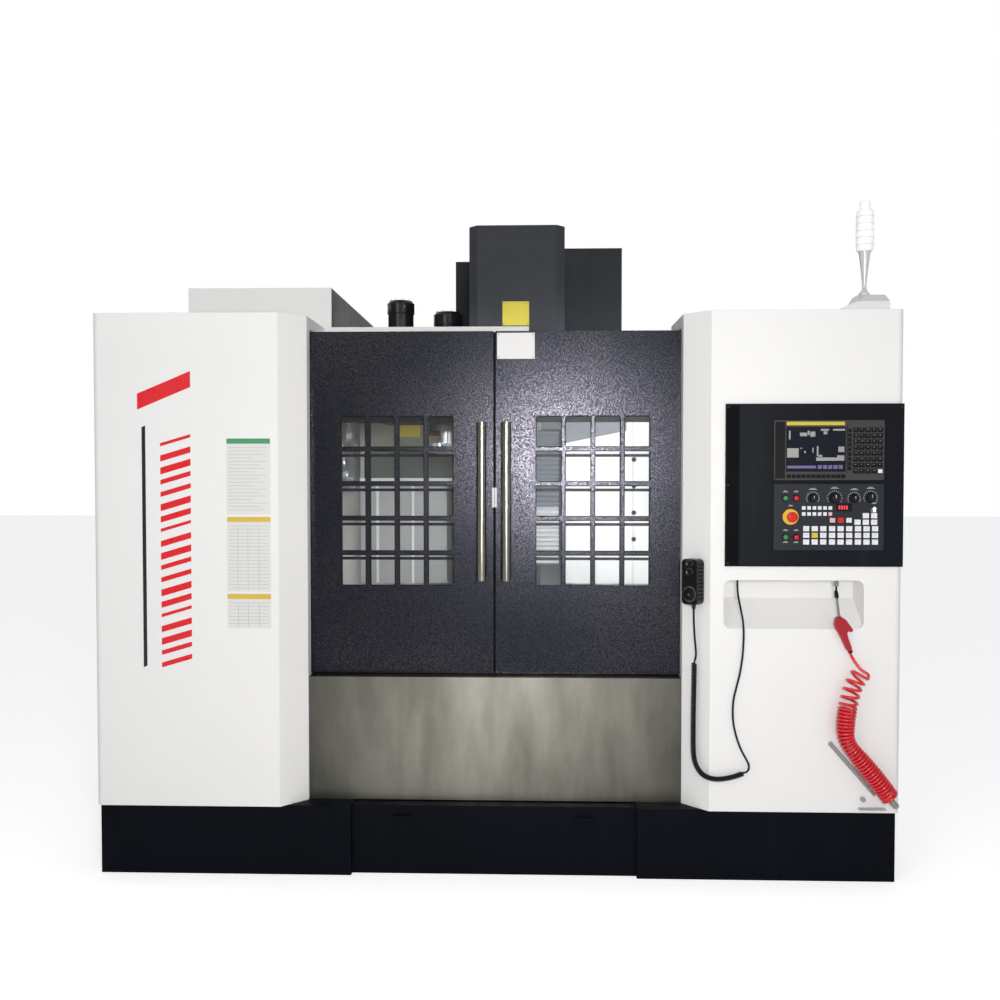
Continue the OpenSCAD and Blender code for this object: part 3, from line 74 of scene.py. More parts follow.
class Graph:
    """A material's node tree with the few helpers that the looks need."""

    def __init__(self, name):
        self.material = bpy.data.materials.new(name)
        self.material.use_nodes = True
        self.tree = self.material.node_tree
        self.shader = self.tree.nodes["Principled BSDF"]
        self.coords = self.tree.nodes.new("ShaderNodeTexCoord").outputs["Object"]

    def node(self, kind, links=(), **values):
        made = self.tree.nodes.new(kind)
        for key, value in values.items():
            if key in made.inputs:
                made.inputs[key].default_value = value
            else:
                setattr(made, key, value)
        for socket, source in links:
            self.tree.links.new(source, made.inputs[socket])
        return made

    def stretched(self, scale):
        return self.node("ShaderNodeMapping", [("Vector", self.coords)], Scale=scale).outputs["Vector"]

    def noise(self, scale, detail=3.0, vector=None, rough=0.5):
        made = self.node("ShaderNodeTexNoise", [("Vector", vector or self.coords)],
                         Scale=scale, Detail=detail, Roughness=rough)
        return made.outputs["Fac"]

    def remap(self, value, low, high, to_low, to_high):
        made = self.node("ShaderNodeMapRange", [("Value", value)])
        made.inputs["From Min"].default_value = low
        made.inputs["From Max"].default_value = high
        made.inputs["To Min"].default_value = to_low
        made.inputs["To Max"].default_value = to_high
        return made.outputs["Result"]

    def mix(self, factor, first, second):
        made = self.node("ShaderNodeMix", data_type="RGBA")
        self.tree.links.new(factor, made.inputs["Factor"])
        for socket, value in ((6, first), (7, second)):
            if isinstance(value, (tuple, list)):
                made.inputs[socket].default_value = (*value[:3], 1.0)
            else:
                self.tree.links.new(value, made.inputs[socket])
        return made.outputs[2]

    def bump(self, height, depth, normal=None):
        links = [("Height", height)] + ([("Normal", normal)] if normal else [])
        return self.node("ShaderNodeBump", links, Distance=depth, Strength=1.0).outputs["Normal"]

    def soft_edges(self, radius):
        return self.node("ShaderNodeBevel", samples=4, Radius=radius).outputs["Normal"]

    def link(self, output, socket):
        self.tree.links.new(output, self.shader.inputs[socket])

    def put(self, **values):
        for key, value in values.items():
            self.shader.inputs[key.replace("_", " ")].default_value = value


def shade(colour, factor):
    return tuple(min(1.0, c * factor) for c in colour[:3])


def paint(name, colour, rough=0.45, metallic=0.0, coat=0.0, grain=700.0, depth=0.00008, mottle=0.04,
          edge=0.0012, dust=None, gloss=0.5):
    """Painted or moulded surface: faint mottling, fine grain, softened edges and some settled dust."""
    g = Graph(name)
    broad = g.noise(2.2, 4.0)
    body = g.mix(g.remap(broad, 0.3, 0.7, 0.0, 1.0), shade(colour, 1 - mottle), shade(colour, 1 + mottle))
    if dust:
        streaks = g.noise(1.0, 6.0, g.stretched((9.0, 9.0, 1.2)), 0.65)
        body = g.mix(g.remap(streaks, 0.56, 0.86, 0.0, 0.5), body, dust)
    g.link(body, "Base Color")
    g.link(g.remap(g.noise(14.0, 3.0), 0.3, 0.7, rough - 0.05, rough + 0.05), "Roughness")
    g.link(g.bump(g.noise(grain, 2.0), depth, g.soft_edges(edge) if edge else None), "Normal")
    g.put(Metallic=metallic, Coat_Weight=coat, Specular_IOR_Level=gloss)
    return g.material


def hammered(name, dark, light, rough):
    """Hammered metallic paint: small cells of lighter and darker flake over a wavy film."""
    g = Graph(name)
    cells = g.node("ShaderNodeTexVoronoi", [("Vector", g.coords)], Scale=300.0, Randomness=1.0)
    flake = g.noise(330.0, 2.0, None, 0.6)
    spots = g.remap(flake, 0.44, 0.62, 0.0, 1.0)
    tone = g.mix(spots, dark, light)
    broad = g.mix(g.remap(g.noise(1.6, 3.0), 0.35, 0.65, 0.0, 0.5), tone, shade(dark, 1.25))
    g.link(broad, "Base Color")
    g.link(g.remap(flake, 0.3, 0.7, rough + 0.08, rough - 0.10), "Roughness")
    wavy = g.bump(cells.outputs["Distance"], 0.00010, g.soft_edges(0.0015))
    g.link(g.bump(flake, 0.00006, wavy), "Normal")
    g.put(Metallic=0.85)
    return g.material


def brushed(name, colour, rough, stretch, depth=0.00006, mottle=0.08, cloud=(1.0, 1.0, 0.25), patch=None,
            rim=None):
    """Brushed metal, its lines running along the axis with the small stretch.

    patch is x, z and reach of a painted highlight, a brighter patch standing in for a lamp's reflection; rim
    is how dark the colour is painted where the metal turns away, a painted reflection of dark surroundings.
    """
    g = Graph(name)
    lines = g.noise(1.0, 4.0, g.stretched(stretch), 0.7)
    smudges = g.noise(2.0, 4.0, g.stretched(cloud), 0.55)
    tone = g.mix(g.remap(lines, 0.3, 0.7, 0.0, 1.0), shade(colour, 1 - mottle), shade(colour, 1 + mottle))
    tone = g.mix(g.remap(smudges, 0.38, 0.66, 0.0, 0.75), tone, shade(colour, 0.5))
    # painted highlight: a spherical patch scales the colour up towards its middle and down to 0.42 outside it
    if patch:
        x, z, wide, high = patch
        moved = g.node("ShaderNodeMapping", [("Vector", g.coords)], Location=(-x / wide, 0.0, -z / high),
                       Scale=(1 / wide, 0.0, 1 / high))
        ball = g.node("ShaderNodeTexGradient", [("Vector", moved.outputs["Vector"])],
                      gradient_type="SPHERICAL")
        painted_highlight_scale = g.remap(ball.outputs["Fac"], 0.0, 1.0, 0.42, 1.45)
        scaled = g.node("ShaderNodeVectorMath", [(0, tone)], operation="SCALE")
        g.tree.links.new(painted_highlight_scale, scaled.inputs["Scale"])
        tone = scaled.outputs[0]
    # painted reflection: the colour is darkened towards the outlines, where the metal turns away, standing in
    # for dark surroundings mirrored in it
    if rim:
        turned = g.node("ShaderNodeLayerWeight", Blend=0.5).outputs["Facing"]
        tone = g.mix(g.remap(turned, 0.24, 0.52, 0.0, 1.0), tone, shade(colour, rim))
    g.link(tone, "Base Color")
    g.link(g.remap(lines, 0.3, 0.7, rough - 0.06, rough + 0.08), "Roughness")
    g.link(g.bump(lines, depth, g.soft_edges(0.0008)), "Normal")
    g.put(Metallic=1.0)
    return g.material


def glowing(name, colour, strength, rough=0.3):
    """A lit face, such as a lamp or a screen, with a little unevenness."""
    g = Graph(name)
    tone = g.mix(g.noise(40.0, 2.0), shade(colour, 0.9), shade(colour, 1.1))
    g.link(tone, "Base Color")
    g.link(tone, "Emission Color")
    g.put(Roughness=rough, Emission_Strength=strength)
    return g.material


def pane(name, colour, alpha):
    """Laminated window with faint wiping marks."""
    g = Graph(name)
    marks = g.noise(4.0, 5.0, g.stretched((1.0, 1.0, 0.4)), 0.6)
    g.link(g.mix(marks, shade(colour, 0.94), shade(colour, 1.04)), "Base Color")
    g.link(g.remap(marks, 0.3, 0.7, 0.26, 0.34), "Roughness")
    g.put(Alpha=alpha, Specular_IOR_Level=0.25)
    return g.material


WHITE = paint("white_powder_coat", (0.80, 0.80, 0.785), 0.42, 0.0, 0.0, 520.0, 0.00010, 0.012, 0.0022)
GREY = paint("grey_powder_coat", (0.66, 0.66, 0.645), 0.48, 0.0, 0.0, 520.0, 0.00012, 0.02, 0.002)
# dark grey standing in for the shade on the magazine cover's side: painted shade
PAINTED_SHADE_GREY = paint("side_painted_shade", (0.082, 0.082, 0.086), 0.5, 0.0, 0.0, 520.0, 0.00010, 0.05, 0.001)
INNER = paint("inner_sheet", (0.70, 0.72, 0.72), 0.40, 0.0, 0.0, 300.0, 0.00008, 0.03, 0.001,
              (0.55, 0.55, 0.52))
DOOR = hammered("door_hammered", (0.009, 0.0125, 0.020), (0.086, 0.079, 0.087), 0.30)
BASE = paint("base_satin", (0.0020, 0.0030, 0.0058), 0.50, 0.0, 0.0, 420.0, 0.00012, 0.15, 0.002,
             (0.008, 0.009, 0.012), 0.08)
COVER = paint("cover_satin", (0.032, 0.036, 0.043), 0.52, 0.0, 0.0, 480.0, 0.00014, 0.07, 0.002,
              (0.045, 0.046, 0.050), 0.25)
# a darker copy of the cover paint for the column cover and chain guard, further back: painted shade
COVER_PAINTED_SHADE = paint("cover_satin_painted_shade", (0.022, 0.025, 0.030), 0.52, 0.0, 0.0, 480.0, 0.00014, 0.07, 0.002,
                   (0.032, 0.033, 0.036), 0.15)
CHANGER = paint("changer_casting", (0.014, 0.013, 0.010), 0.55, 0.0, 0.0, 160.0, 0.0005, 0.15, 0.003,
                None, 0.2)
CASTING = paint("casting", (0.085, 0.10, 0.115), 0.55, 0.0, 0.0, 160.0, 0.0005, 0.12, 0.003,
                (0.12, 0.12, 0.11))
# the apron's patch is a painted highlight, brighter towards the middle of the apron and darker to its sides
APRON = brushed("apron_stainless", (0.30, 0.295, 0.25), 0.40, (2.0, 2.0, 700.0), 0.00006, 0.08,
                (3.2, 1.0, 0.9), (-0.02, 0.66, 0.78, 0.9))
# the handles' rim is a painted dark reflection along their outlines
HANDLE = brushed("handle_stainless", (0.40, 0.385, 0.33), 0.26, (500.0, 500.0, 8.0), rim=0.10)
GROUND = brushed("ground_steel", (0.52, 0.53, 0.54), 0.30, (3.0, 400.0, 400.0))
MAGAZINE = brushed("magazine_metal", (0.50, 0.51, 0.52), 0.36, (200.0, 200.0, 200.0))
PANEL = paint("panel_textured", (0.0030, 0.0048, 0.0085), 0.46, 0.0, 0.0, 650.0, 0.00012, 0.25, 0.0015,
              (0.014, 0.019, 0.029), 0.15)
PANEL_DARK = paint("panel_strip", (0.0012, 0.0018, 0.0032), 0.5, 0.0, 0.0, 650.0, 0.00012, 0.2, 0.0008,
                   None, 0.06)
UNIT = paint("unit_moulded", (0.052, 0.052, 0.054), 0.5, 0.0, 0.0, 900.0, 0.00006, 0.05, 0.0008, None, 0.2)
FIELD = paint("field_moulded", (0.021, 0.0245, 0.032), 0.42, 0.0, 0.0, 900.0, 0.00005, 0.05, 0.0008,
              None, 0.2)
KEY_BLACK = paint("key_black", (0.004, 0.004, 0.005), 0.38, 0.0, 0.0, 600.0, 0.00004, 0.1, 0.0, None, 0.2)
KEY_WHITE = paint("key_white", (0.74, 0.75, 0.77), 0.35, 0.0, 0.1, 600.0, 0.00003, 0.03, 0.0)
KEY_YELLOW = paint("key_yellow", (0.62, 0.47, 0.05), 0.35, 0.0, 0.1, 600.0, 0.00003, 0.03, 0.0)
KEY_RED = paint("key_red", (0.55, 0.01, 0.015), 0.32, 0.0, 0.2, 600.0, 0.00003, 0.05, 0.0)
KEY_PINK = paint("key_pink", (0.72, 0.45, 0.45), 0.35, 0.0, 0.1, 600.0, 0.00003, 0.03, 0.0)
RED = paint("button_red", (0.62, 0.012, 0.015), 0.26, 0.0, 0.3, 300.0, 0.00003, 0.05, 0.0006)
GREEN = paint("button_green", (0.03, 0.27, 0.07), 0.26, 0.0, 0.3, 300.0, 0.00003, 0.05, 0.0006)
YELLOW = paint("collar_yellow", (0.80, 0.46, 0.03), 0.34, 0.0, 0.1, 300.0, 0.00003, 0.03, 0.0006)
KNOB = paint("knob_moulded", (0.005, 0.005, 0.006), 0.40, 0.0, 0.0, 500.0, 0.00006, 0.1, 0.0006, None, 0.3)
PENDANT = paint("pendant_moulded", (0.015, 0.0145, 0.012), 0.36, 0.0, 0.0, 420.0, 0.0001, 0.15, 0.002,
                None, 0.3)
MOTOR = paint("motor_gloss", (0.006, 0.006, 0.007), 0.26, 0.0, 0.2, 200.0, 0.00008, 0.1, 0.0015, None, 0.4)
CHROME = brushed("stand_chrome", (0.78, 0.78, 0.80), 0.12, (60.0, 60.0, 6.0), 0.00001, 0.03)
STAND = paint("stand_pale", (0.70, 0.70, 0.69), 0.22, 0.3, 0.2, 300.0, 0.00002, 0.03, 0.0006)
METAL = brushed("fitting_metal", (0.55, 0.55, 0.54), 0.28, (90.0, 90.0, 90.0), 0.00003)
LAMP = glowing("lamp_white", (0.86, 0.86, 0.85), 0.22, 0.25)
GUN = paint("gun_red", (0.36, 0.006, 0.018), 0.30, 0.0, 0.3, 300.0, 0.00006, 0.08, 0.001)
HOSE = paint("hose_red", (0.66, 0.010, 0.018), 0.30, 0.0, 0.4, 200.0, 0.00003, 0.06, 0.0)
RUBBER = paint("cable_rubber", (0.004, 0.004, 0.005), 0.42, 0.0, 0.0, 500.0, 0.00006, 0.1, 0.0, None, 0.3)
GASKET = paint("gasket_rubber", (0.004, 0.004, 0.005), 0.6, 0.0, 0.0, 500.0, 0.00006, 0.1, 0.0, None, 0.1)
FILM_RED = paint("film_red", (0.72, 0.013, 0.018), 0.30, 0.0, 0.1, 300.0, 0.00002, 0.02, 0.0)
FILM_BLACK = paint("film_black", (0.012, 0.012, 0.013), 0.34, 0.0, 0.1, 300.0, 0.00002, 0.05, 0.0)
FILM_WHITE = paint("film_white", (0.70, 0.70, 0.68), 0.40, 0.0, 0.0, 300.0, 0.00002, 0.02, 0.0)
FILM_GREEN = paint("film_green", (0.06, 0.30, 0.12), 0.40, 0.0, 0.0, 300.0, 0.00002, 0.03, 0.0)
FILM_YELLOW = paint("film_yellow", (0.66, 0.46, 0.06), 0.40, 0.0, 0.0, 300.0, 0.00002, 0.03, 0.0)
FILM_GREY = paint("film_grey", (0.34, 0.35, 0.34), 0.45, 0.0, 0.0, 300.0, 0.00002, 0.05, 0.0)
PLATE_YELLOW = paint("plate_yellow", (0.60, 0.50, 0.030), 0.38, 0.0, 0.1, 200.0, 0.00006, 0.08, 0.0006)
TICKS = paint("printed_marks", (0.55, 0.56, 0.58), 0.5, 0.0, 0.0, 300.0, 0.00002, 0.03, 0.0)
SCREEN = paint("screen_dark", (0.0045, 0.0065, 0.015), 0.3, 0.0, 0.0, 300.0, 0.00001, 0.1, 0.0, None, 0.2)
SCREEN_PALE = paint("screen_pale", (0.34, 0.34, 0.32), 0.4, 0.0, 0.0, 300.0, 0.00001, 0.1, 0.0, None, 0.3)
SCREEN_BLUE = paint("screen_violet", (0.15, 0.13, 0.27), 0.4, 0.0, 0.0, 300.0, 0.00001, 0.1, 0.0, None, 0.3)
SCREEN_RED = glowing("digits_red", (0.75, 0.05, 0.06), 0.5, 0.2)
# the two window glasses are lit and shaded copies: the right pane painted pale as a painted reflection of the
# lit inner wall, the left pane painted grey as painted shade
LEFT_PANE_PAINTED_SHADE = pane("left_pane_painted_shade", (0.30, 0.32, 0.31), 0.04)
RIGHT_PANE_PAINTED_REFLECTION = pane("right_pane_painted_reflection", (0.80, 0.84, 0.86), 0.05)
# a darker copy of the inner sheet for the left inner wall: painted shade
INNER_PAINTED_SHADE = paint("inner_sheet_painted_shade", (0.36, 0.37, 0.37), 0.40, 0.0, 0.0, 300.0, 0.00008, 0.05, 0.001,
                   (0.30, 0.30, 0.28))
WORK_LIGHT = glowing("work_light", (0.95, 0.96, 0.97), 1.4)
# lit and shaded copies of the bellows cloth: pale for the lower folds as painted light, grey-blue for the
# upper folds as painted shade
BELLOWS_PAINTED_SHADE = paint("bellows_cloth_painted_shade", (0.24, 0.27, 0.31), 0.6, 0.0, 0.0, 350.0, 0.0003, 0.08, 0.0)
BELLOWS_PAINTED_LIT = paint("bellows_painted_lit", (0.70, 0.72, 0.74), 0.6, 0.0, 0.0, 350.0, 0.0003, 0.05, 0.0)
OLIVE = paint("changer_panel", (0.24, 0.245, 0.19), 0.5, 0.0, 0.0, 300.0, 0.0001, 0.05, 0.001)
OLIVE_DARK = paint("changer_panel_low", (0.075, 0.088, 0.076), 0.5, 0.0, 0.0, 300.0, 0.0001, 0.12, 0.001)
BROWN = paint("changer_guard", (0.020, 0.016, 0.008), 0.5, 0.0, 0.0, 300.0, 0.0001, 0.2, 0.001)
BRICK = paint("changer_seal", (0.14, 0.022, 0.008), 0.5, 0.0, 0.0, 300.0, 0.0001, 0.2, 0.001)
# grey-blue standing in for the shade over the upper right inner wall: painted shade
PAINTED_SHADE_BLUE = paint("inner_painted_shade_sheet", (0.15, 0.17, 0.20), 0.45, 0.0, 0.0, 300.0, 0.0001, 0.1, 0.001)
LATCH = paint("latch_zinc", (0.50, 0.50, 0.50), 0.4, 0.2, 0.0, 300.0, 0.0001, 0.05, 0.0005)

LOOKS = {
    "column_cover": COVER_PAINTED_SHADE, "chain_guard": COVER_PAINTED_SHADE, "left_cabinet": WHITE, "right_cabinet": WHITE,
    "rear_enclosure": WHITE, "magazine_cover": WHITE,
    "electrical_cabinet": GREY, "electrical_door": GREY, "left_door": DOOR, "right_door": DOOR,
    "base_skirt": BASE, "coolant_tank": BASE, "head_hood": COVER, "bed": CASTING, "column": CASTING,
    "head": CASTING, "saddle": CASTING,
    "changer_gearbox": CHANGER, "apron": APRON, "left_handle": HANDLE, "right_handle": HANDLE,
    "table": GROUND, "guide_rails": GROUND, "x_screw": GROUND, "y_screw": GROUND, "z_screw": GROUND,
    "spindle": GROUND, "changer_shaft": GROUND, "changer_arm": GROUND, "door_rails": GROUND,
    "leveling_feet": METAL, "magazine_disc": MAGAZINE, "left_glass": LEFT_PANE_PAINTED_SHADE,
    "right_glass": RIGHT_PANE_PAINTED_REFLECTION, "control_box": PANEL, "display_unit": UNIT, "keypad": FIELD,
    "stop_button": RED, "hold_button": RED, "power_off_button": RED, "start_button": GREEN,
    "power_on_button": GREEN, "mode_knob": KNOB, "feed_knob": KNOB, "rapid_knob": KNOB,
    "spindle_knob": KNOB, "key_switch": CHROME, "pendant_body": PENDANT, "pendant_dial": KNOB,
    "drive_motors": MOTOR, "x_motor": MOTOR, "spindle_motor": MOTOR, "signal_stand": STAND,
    "signal_lamp": LAMP, "hose_fittings": METAL,
}
for node_name, look in LOOKS.items():
    node = NODES[node_name]
    if not node.material_slots:
        node.data.materials.append(look)
    for holder in node.material_slots:
        holder.material = look


# building pieces

class Shape:
    """Gathers solids into one mesh; every solid takes the material in use when it is added."""

    def __init__(self, place=PLACE):
        self.mesh = bmesh.new()
        self.place = place
        self.index = 0

    def use(self, index):
        self.index = index
        return self

    def point(self, x, d, z):
        return self.place @ Vector((x / 1000, d / 1000, z / 1000))

    def face(self, corners):
        made = self.mesh.faces.new(corners)
        made.material_index = self.index

    def loft(self, rings, closed=True):
        """Skins equal rings of points and caps both ends."""
        made = [[self.mesh.verts.new(p) for p in ring] for ring in rings]
        count = len(made[0])
        for low, high in zip(made, made[1:]):
            for i in range(count):
                j = (i + 1) % count
                self.face([low[i], low[j], high[j], high[i]])
        if closed:
            self.face(list(reversed(made[0])))
            self.face(made[-1])

    def prism(self, outline, axis, low, high):
        """Outline pairs: x, z along d; d, z along x; x, d along z."""
        order = {
            "d": lambda a, b, h: (a, h, b),
            "x": lambda a, b, h: (h, a, b),
            "z": lambda a, b, h: (a, b, h),
        }
        self.loft([[self.point(*order[axis](a, b, h)) for a, b in outline] for h in (low, high)])
        return self

    def box(self, x0, x1, d0, d1, z0, z1):
        return self.prism([(x0, z0), (x1, z0), (x1, z1), (x0, z1)], "d", d0, d1)

    def lathe(self, outline, origin, direction=(0, -1, 0), steps=28):
        """Outline pairs: radius, height along the direction."""
        turn = Vector((0, 0, 1)).rotation_difference(Vector(direction).normalized())
        rings = []
        for radius, height in outline:
            ring = []
            reach = max(radius, 0.01)
            for i in range(steps):
                a = 2 * math.pi * i / steps
                local = turn @ Vector((reach * math.cos(a), reach * math.sin(a), height))
                ring.append(self.point(origin[0] + local.x, origin[1] + local.y, origin[2] + local.z))
            rings.append(ring)
        self.loft(rings)
        return self

    def slanted(self, centre, size, angle, d0, d1):
        """A bar in the face, turned about its middle."""
        c, s = math.cos(math.radians(angle)), math.sin(math.radians(angle))
        w, h = size[0] / 2, size[1] / 2
        outline = [(centre[0] + a * c - b * s, centre[1] + a * s + b * c)
                   for a, b in ((-w, -h), (w, -h), (w, h), (-w, h))]
        return self.prism(outline, "d", d0, d1)

    def finish(self, name, materials, body, slot, bevel=0.0, angle=35.0):
        bmesh.ops.recalc_face_normals(self.mesh, faces=self.mesh.faces)
        data = bpy.data.meshes.new(name)
        self.mesh.to_mesh(data)
        self.mesh.free()
        for material in materials:
            data.materials.append(material)
        piece = bpy.data.objects.new(name, data)
        scene.collection.objects.link(piece)
        if bevel:
            rounding = piece.modifiers.new("rounding", "BEVEL")
            rounding.width = bevel / 1000
            rounding.segments = 2
            rounding.limit_method = "ANGLE"
        for polygon in data.polygons:
            polygon.use_smooth = True
        data.set_sharp_from_angle(angle=math.radians(angle))
        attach(piece, body)
        return piece


# cords: the routes are those of the part's source

def smooth(route, step):
    """Points along a Catmull-Rom curve through the route, about a step apart."""
    points = [Vector(p) for p in route]
    padded = [2 * points[0] - points[1]] + points + [2 * points[-1] - points[-2]]
    made = []
    for a, b, c, e in zip(padded, padded[1:], padded[2:], padded[3:]):
        count = max(1, round((c - b).length / step))
        for i in range(count):
            t = i / count
            made.append(0.5 * ((2 * b) + (c - a) * t + (2 * a - 5 * b + 4 * c - e) * t * t
                               + (3 * b - 3 * c + e - a) * t ** 3))
    return made + [points[-1]]


def coil(route, radius, pitch, start, per_turn=14):
    """A helix round the route; radius and pitch are functions of the share of its length."""
    line = smooth(route, 2.0)
    reach = [0.0]
    for a, b in zip(line, line[1:]):
        reach.append(reach[-1] + (b - a).length)
    total = reach[-1]
    tangent = (line[1] - line[0]).normalized()
    away = Vector(start) - line[0]
    side = (away - tangent * away.dot(tangent)).normalized()
    made = []
    s, angle, k = 0.0, 0.0, 0
    while s < total:
        while k < len(line) - 2 and reach[k + 1] < s:
            k += 1
            new = (line[k + 1] - line[k]).normalized()
            side = (side - new * side.dot(new)).normalized()
            tangent = new
        share = s / total
        t = (s - reach[k]) / (reach[k + 1] - reach[k])
        centre = line[k].lerp(line[k + 1], t)
        other = tangent.cross(side)
        made.append(centre + radius(share) * (math.cos(angle) * side + math.sin(angle) * other))
        s += pitch(share) / per_turn
        angle += 2 * math.pi / per_turn
    return made


def cord(name, points, diameter, material, nodes):
    data = bpy.data.curves.new(name, "CURVE")
    data.dimensions = "3D"
    data.bevel_depth = diameter / 2000
    data.bevel_resolution = 2
    data.use_fill_caps = True
    spline = data.splines.new("POLY")
    metres = [at(*p) for p in points]
    spline.points.add(len(metres) - 1)
    for target, p in zip(spline.points, metres):
        target.co = (*p, 1.0)
    spline.use_smooth = True
    data.materials.append(material)
    piece = bpy.data.objects.new(name, data)
    scene.collection.objects.link(piece)
    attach(piece, "base")
    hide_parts(*nodes)
    return piece


HANDSET_END = [(750, 26, 1020), (750, 26, 1000), (751, 26, 960), (754, 26, 910), (758, 26, 870),
               (759, 26, 845), (756, 26, 830), (756, 26, 818)]
CURL_ROUTE = [(752, 26, 818), (752, 26, 760), (751, 26, 690), (750, 26, 615), (750, 26, 540),
              (751, 24, 480), (758, 16, 440), (775, 4, 411), (800, -12, 397), (835, -16, 392),
              (875, -16, 397), (906, -16, 406), (929, -16, 415)]
RISING_ROUTE = [(929, -16, 415), (940.5, -16, 419.5), (949, -16, 432), (948, -16, 450),
                (938, -15, 470), (924, -13, 496), (910, -11, 530), (899, -10, 568), (892, -10, 605),
                (890, -10, 645), (893, -10, 690), (903, -10, 735), (915, -10, 785), (924, -10, 845),
                (928, -10, 905), (928, -9, 950), (925, -4, 990), (918, 8, 1035), (913, 22, 1075),
                (912, 29, 1108), (912, 29, 1136)]
HOSE_ROUTE = [(1313, -16, 879), (1320, -17, 857), (1330, -21, 838), (1343, -28, 818),
              (1357, -36, 803), (1370, -42, 796), (1376, -44, 789), (1370, -44, 781)]
COIL_ROUTE = [(1350, -44, 796), (1332, -44, 772), (1318, -44, 740), (1307, -44, 700),
              (1299, -44, 655), (1294, -44, 610), (1295, -44, 565), (1308, -44, 530),
              (1334, -44, 496), (1368, -44, 454), (1404, -44, 410), (1437, -44, 367),
              (1462, -44, 332)]


def ends_in(share, inner, from_start, from_end):
    """Draws the helix in over its first and last stretch."""
    return inner * min(1.0, (share + 0.0005) / from_start, (1.0005 - share) / from_end)


curl = coil(CURL_ROUTE, lambda s: ends_in(s, 6.6, 0.006, 0.006), lambda s: 8.3, (756, 26, 818))
cord("handset_cord", smooth(HANDSET_END, 9.0)[:-1] + curl + smooth(RISING_ROUTE, 9.0)[1:], 7.6,
     RUBBER, ("pendant_cable", "pendant_coil"))


def hose_radius(share):
    waist = math.exp(-((share - 0.55) / 0.12) ** 2)
    return (30.0 - 5.5 * waist) * min(1.0, (1.002 - share) / 0.02)


def hose_pitch(share):
    return 29.0 if share < 0.20 else (29.0 - (share - 0.20) * 220 if share < 0.27 else 12.6)


spiral = coil(COIL_ROUTE, hose_radius, hose_pitch, (1370, -44, 781))
cord("air_hose_line", smooth(HOSE_ROUTE, 7.0)[:-1] + spiral, 10.4, HOSE,
     ("air_hose", "air_hose_coil"))


# control panel: caps, screen, rings and printed marks

PANEL_FACE = -8
UNIT_FACE = -18
UNIT_X = 1033
DISPLAY_Z = 1502
KEYS_Z = 1244
SCREEN_L = UNIT_X + 44
SCREEN_R = SCREEN_L + 216
SCREEN_B = DISPLAY_Z + 31
SCREEN_T = SCREEN_B + 164


def cap(shape, x, z, w, h, high=4.0, proud=0.7):
    grow = 0.4
    shape.box(x - w / 2 - grow, x + w / 2 + grow, UNIT_FACE - high - proud, UNIT_FACE - 0.2,
              z - h / 2 - grow, z + h / 2 + grow)


soft_keys = Shape()
for i in range(9):
    cap(soft_keys, SCREEN_R + 14, SCREEN_B + 12 + i * 17.4, 10, 12)
for i in range(12):
    cap(soft_keys, SCREEN_L + 9 + i * 18, DISPLAY_Z + 14, 13, 12)
for c in range(5):
    for r in range(8):
        cap(soft_keys, SCREEN_R + 36 + c * 22, DISPLAY_Z + 33 + r * 21.5, 17, 15)
soft_keys.use(1)
cap(soft_keys, SCREEN_R + 36 + 4 * 22, DISPLAY_Z + 33, 15, 13, 4.0, 1.2)
soft_keys.use(2)
for c in range(5):
    for r in range(8):
        if (c, r) != (4, 0):
            x, z = SCREEN_R + 36 + c * 22, DISPLAY_Z + 33 + r * 21.5
            wide = 1 if (c + r) % 3 else 4
            soft_keys.box(x - 4, x + wide, UNIT_FACE - 4.9, UNIT_FACE - 4.6, z + 2, z + 3.4)
soft_keys.finish("display_keys", [KEY_BLACK, KEY_WHITE, FILM_GREY], "base", "unit_plastic", 1.1)

keys = Shape()
KEYS = []
for g in range(3):
    for c in range(3):
        for r in range(3):
            KEYS.append((118 + g * 94 + c * 31, 31 + r * 24.5, 21, 18, 1 if (g, c, r) == (0, 1, 1) else 0))
KEYS += [(304 + c * 30, 104, 21, 18, 0) for c in range(3)]
KEYS += [(304 + c * 30, 128, 21, 18, 0) for c in (1, 2)]
KEYS += [(213, 111, 18, 16, 3), (243, 111, 20, 18, 2), (273, 111, 18, 16, 0)]
for x, z, w, h, tone in KEYS:
    keys.use(tone)
    cap(keys, UNIT_X + x, KEYS_Z + z, w, h)
for c in range(6):
    for r in range(2):
        keys.use(3 if (c, r) == (5, 0) else 0)
        cap(keys, UNIT_X + 109 + c * 19.3, KEYS_Z + 134 + r * 22, 12, 12, 2.0)
keys.use(4)
for number, (x, z, w, h, tone) in enumerate(KEYS):
    if tone in (0, 3):
        top = UNIT_FACE - 4.7
        left, low = UNIT_X + x - w / 4, KEYS_Z + z
        keys.box(left, left + (w / 2 if number % 2 else w / 3), top - 0.15, top + 0.1, low + 2.4, low + 3.6)
        if number % 3:
            keys.box(left, left + w / 4, top - 0.15, top + 0.1, low - 2.4, low - 1.3)
keys.finish("field_keys", [KEY_WHITE, KEY_YELLOW, KEY_RED, KEY_PINK, FILM_GREY], "base", "unit_plastic", 1.2)

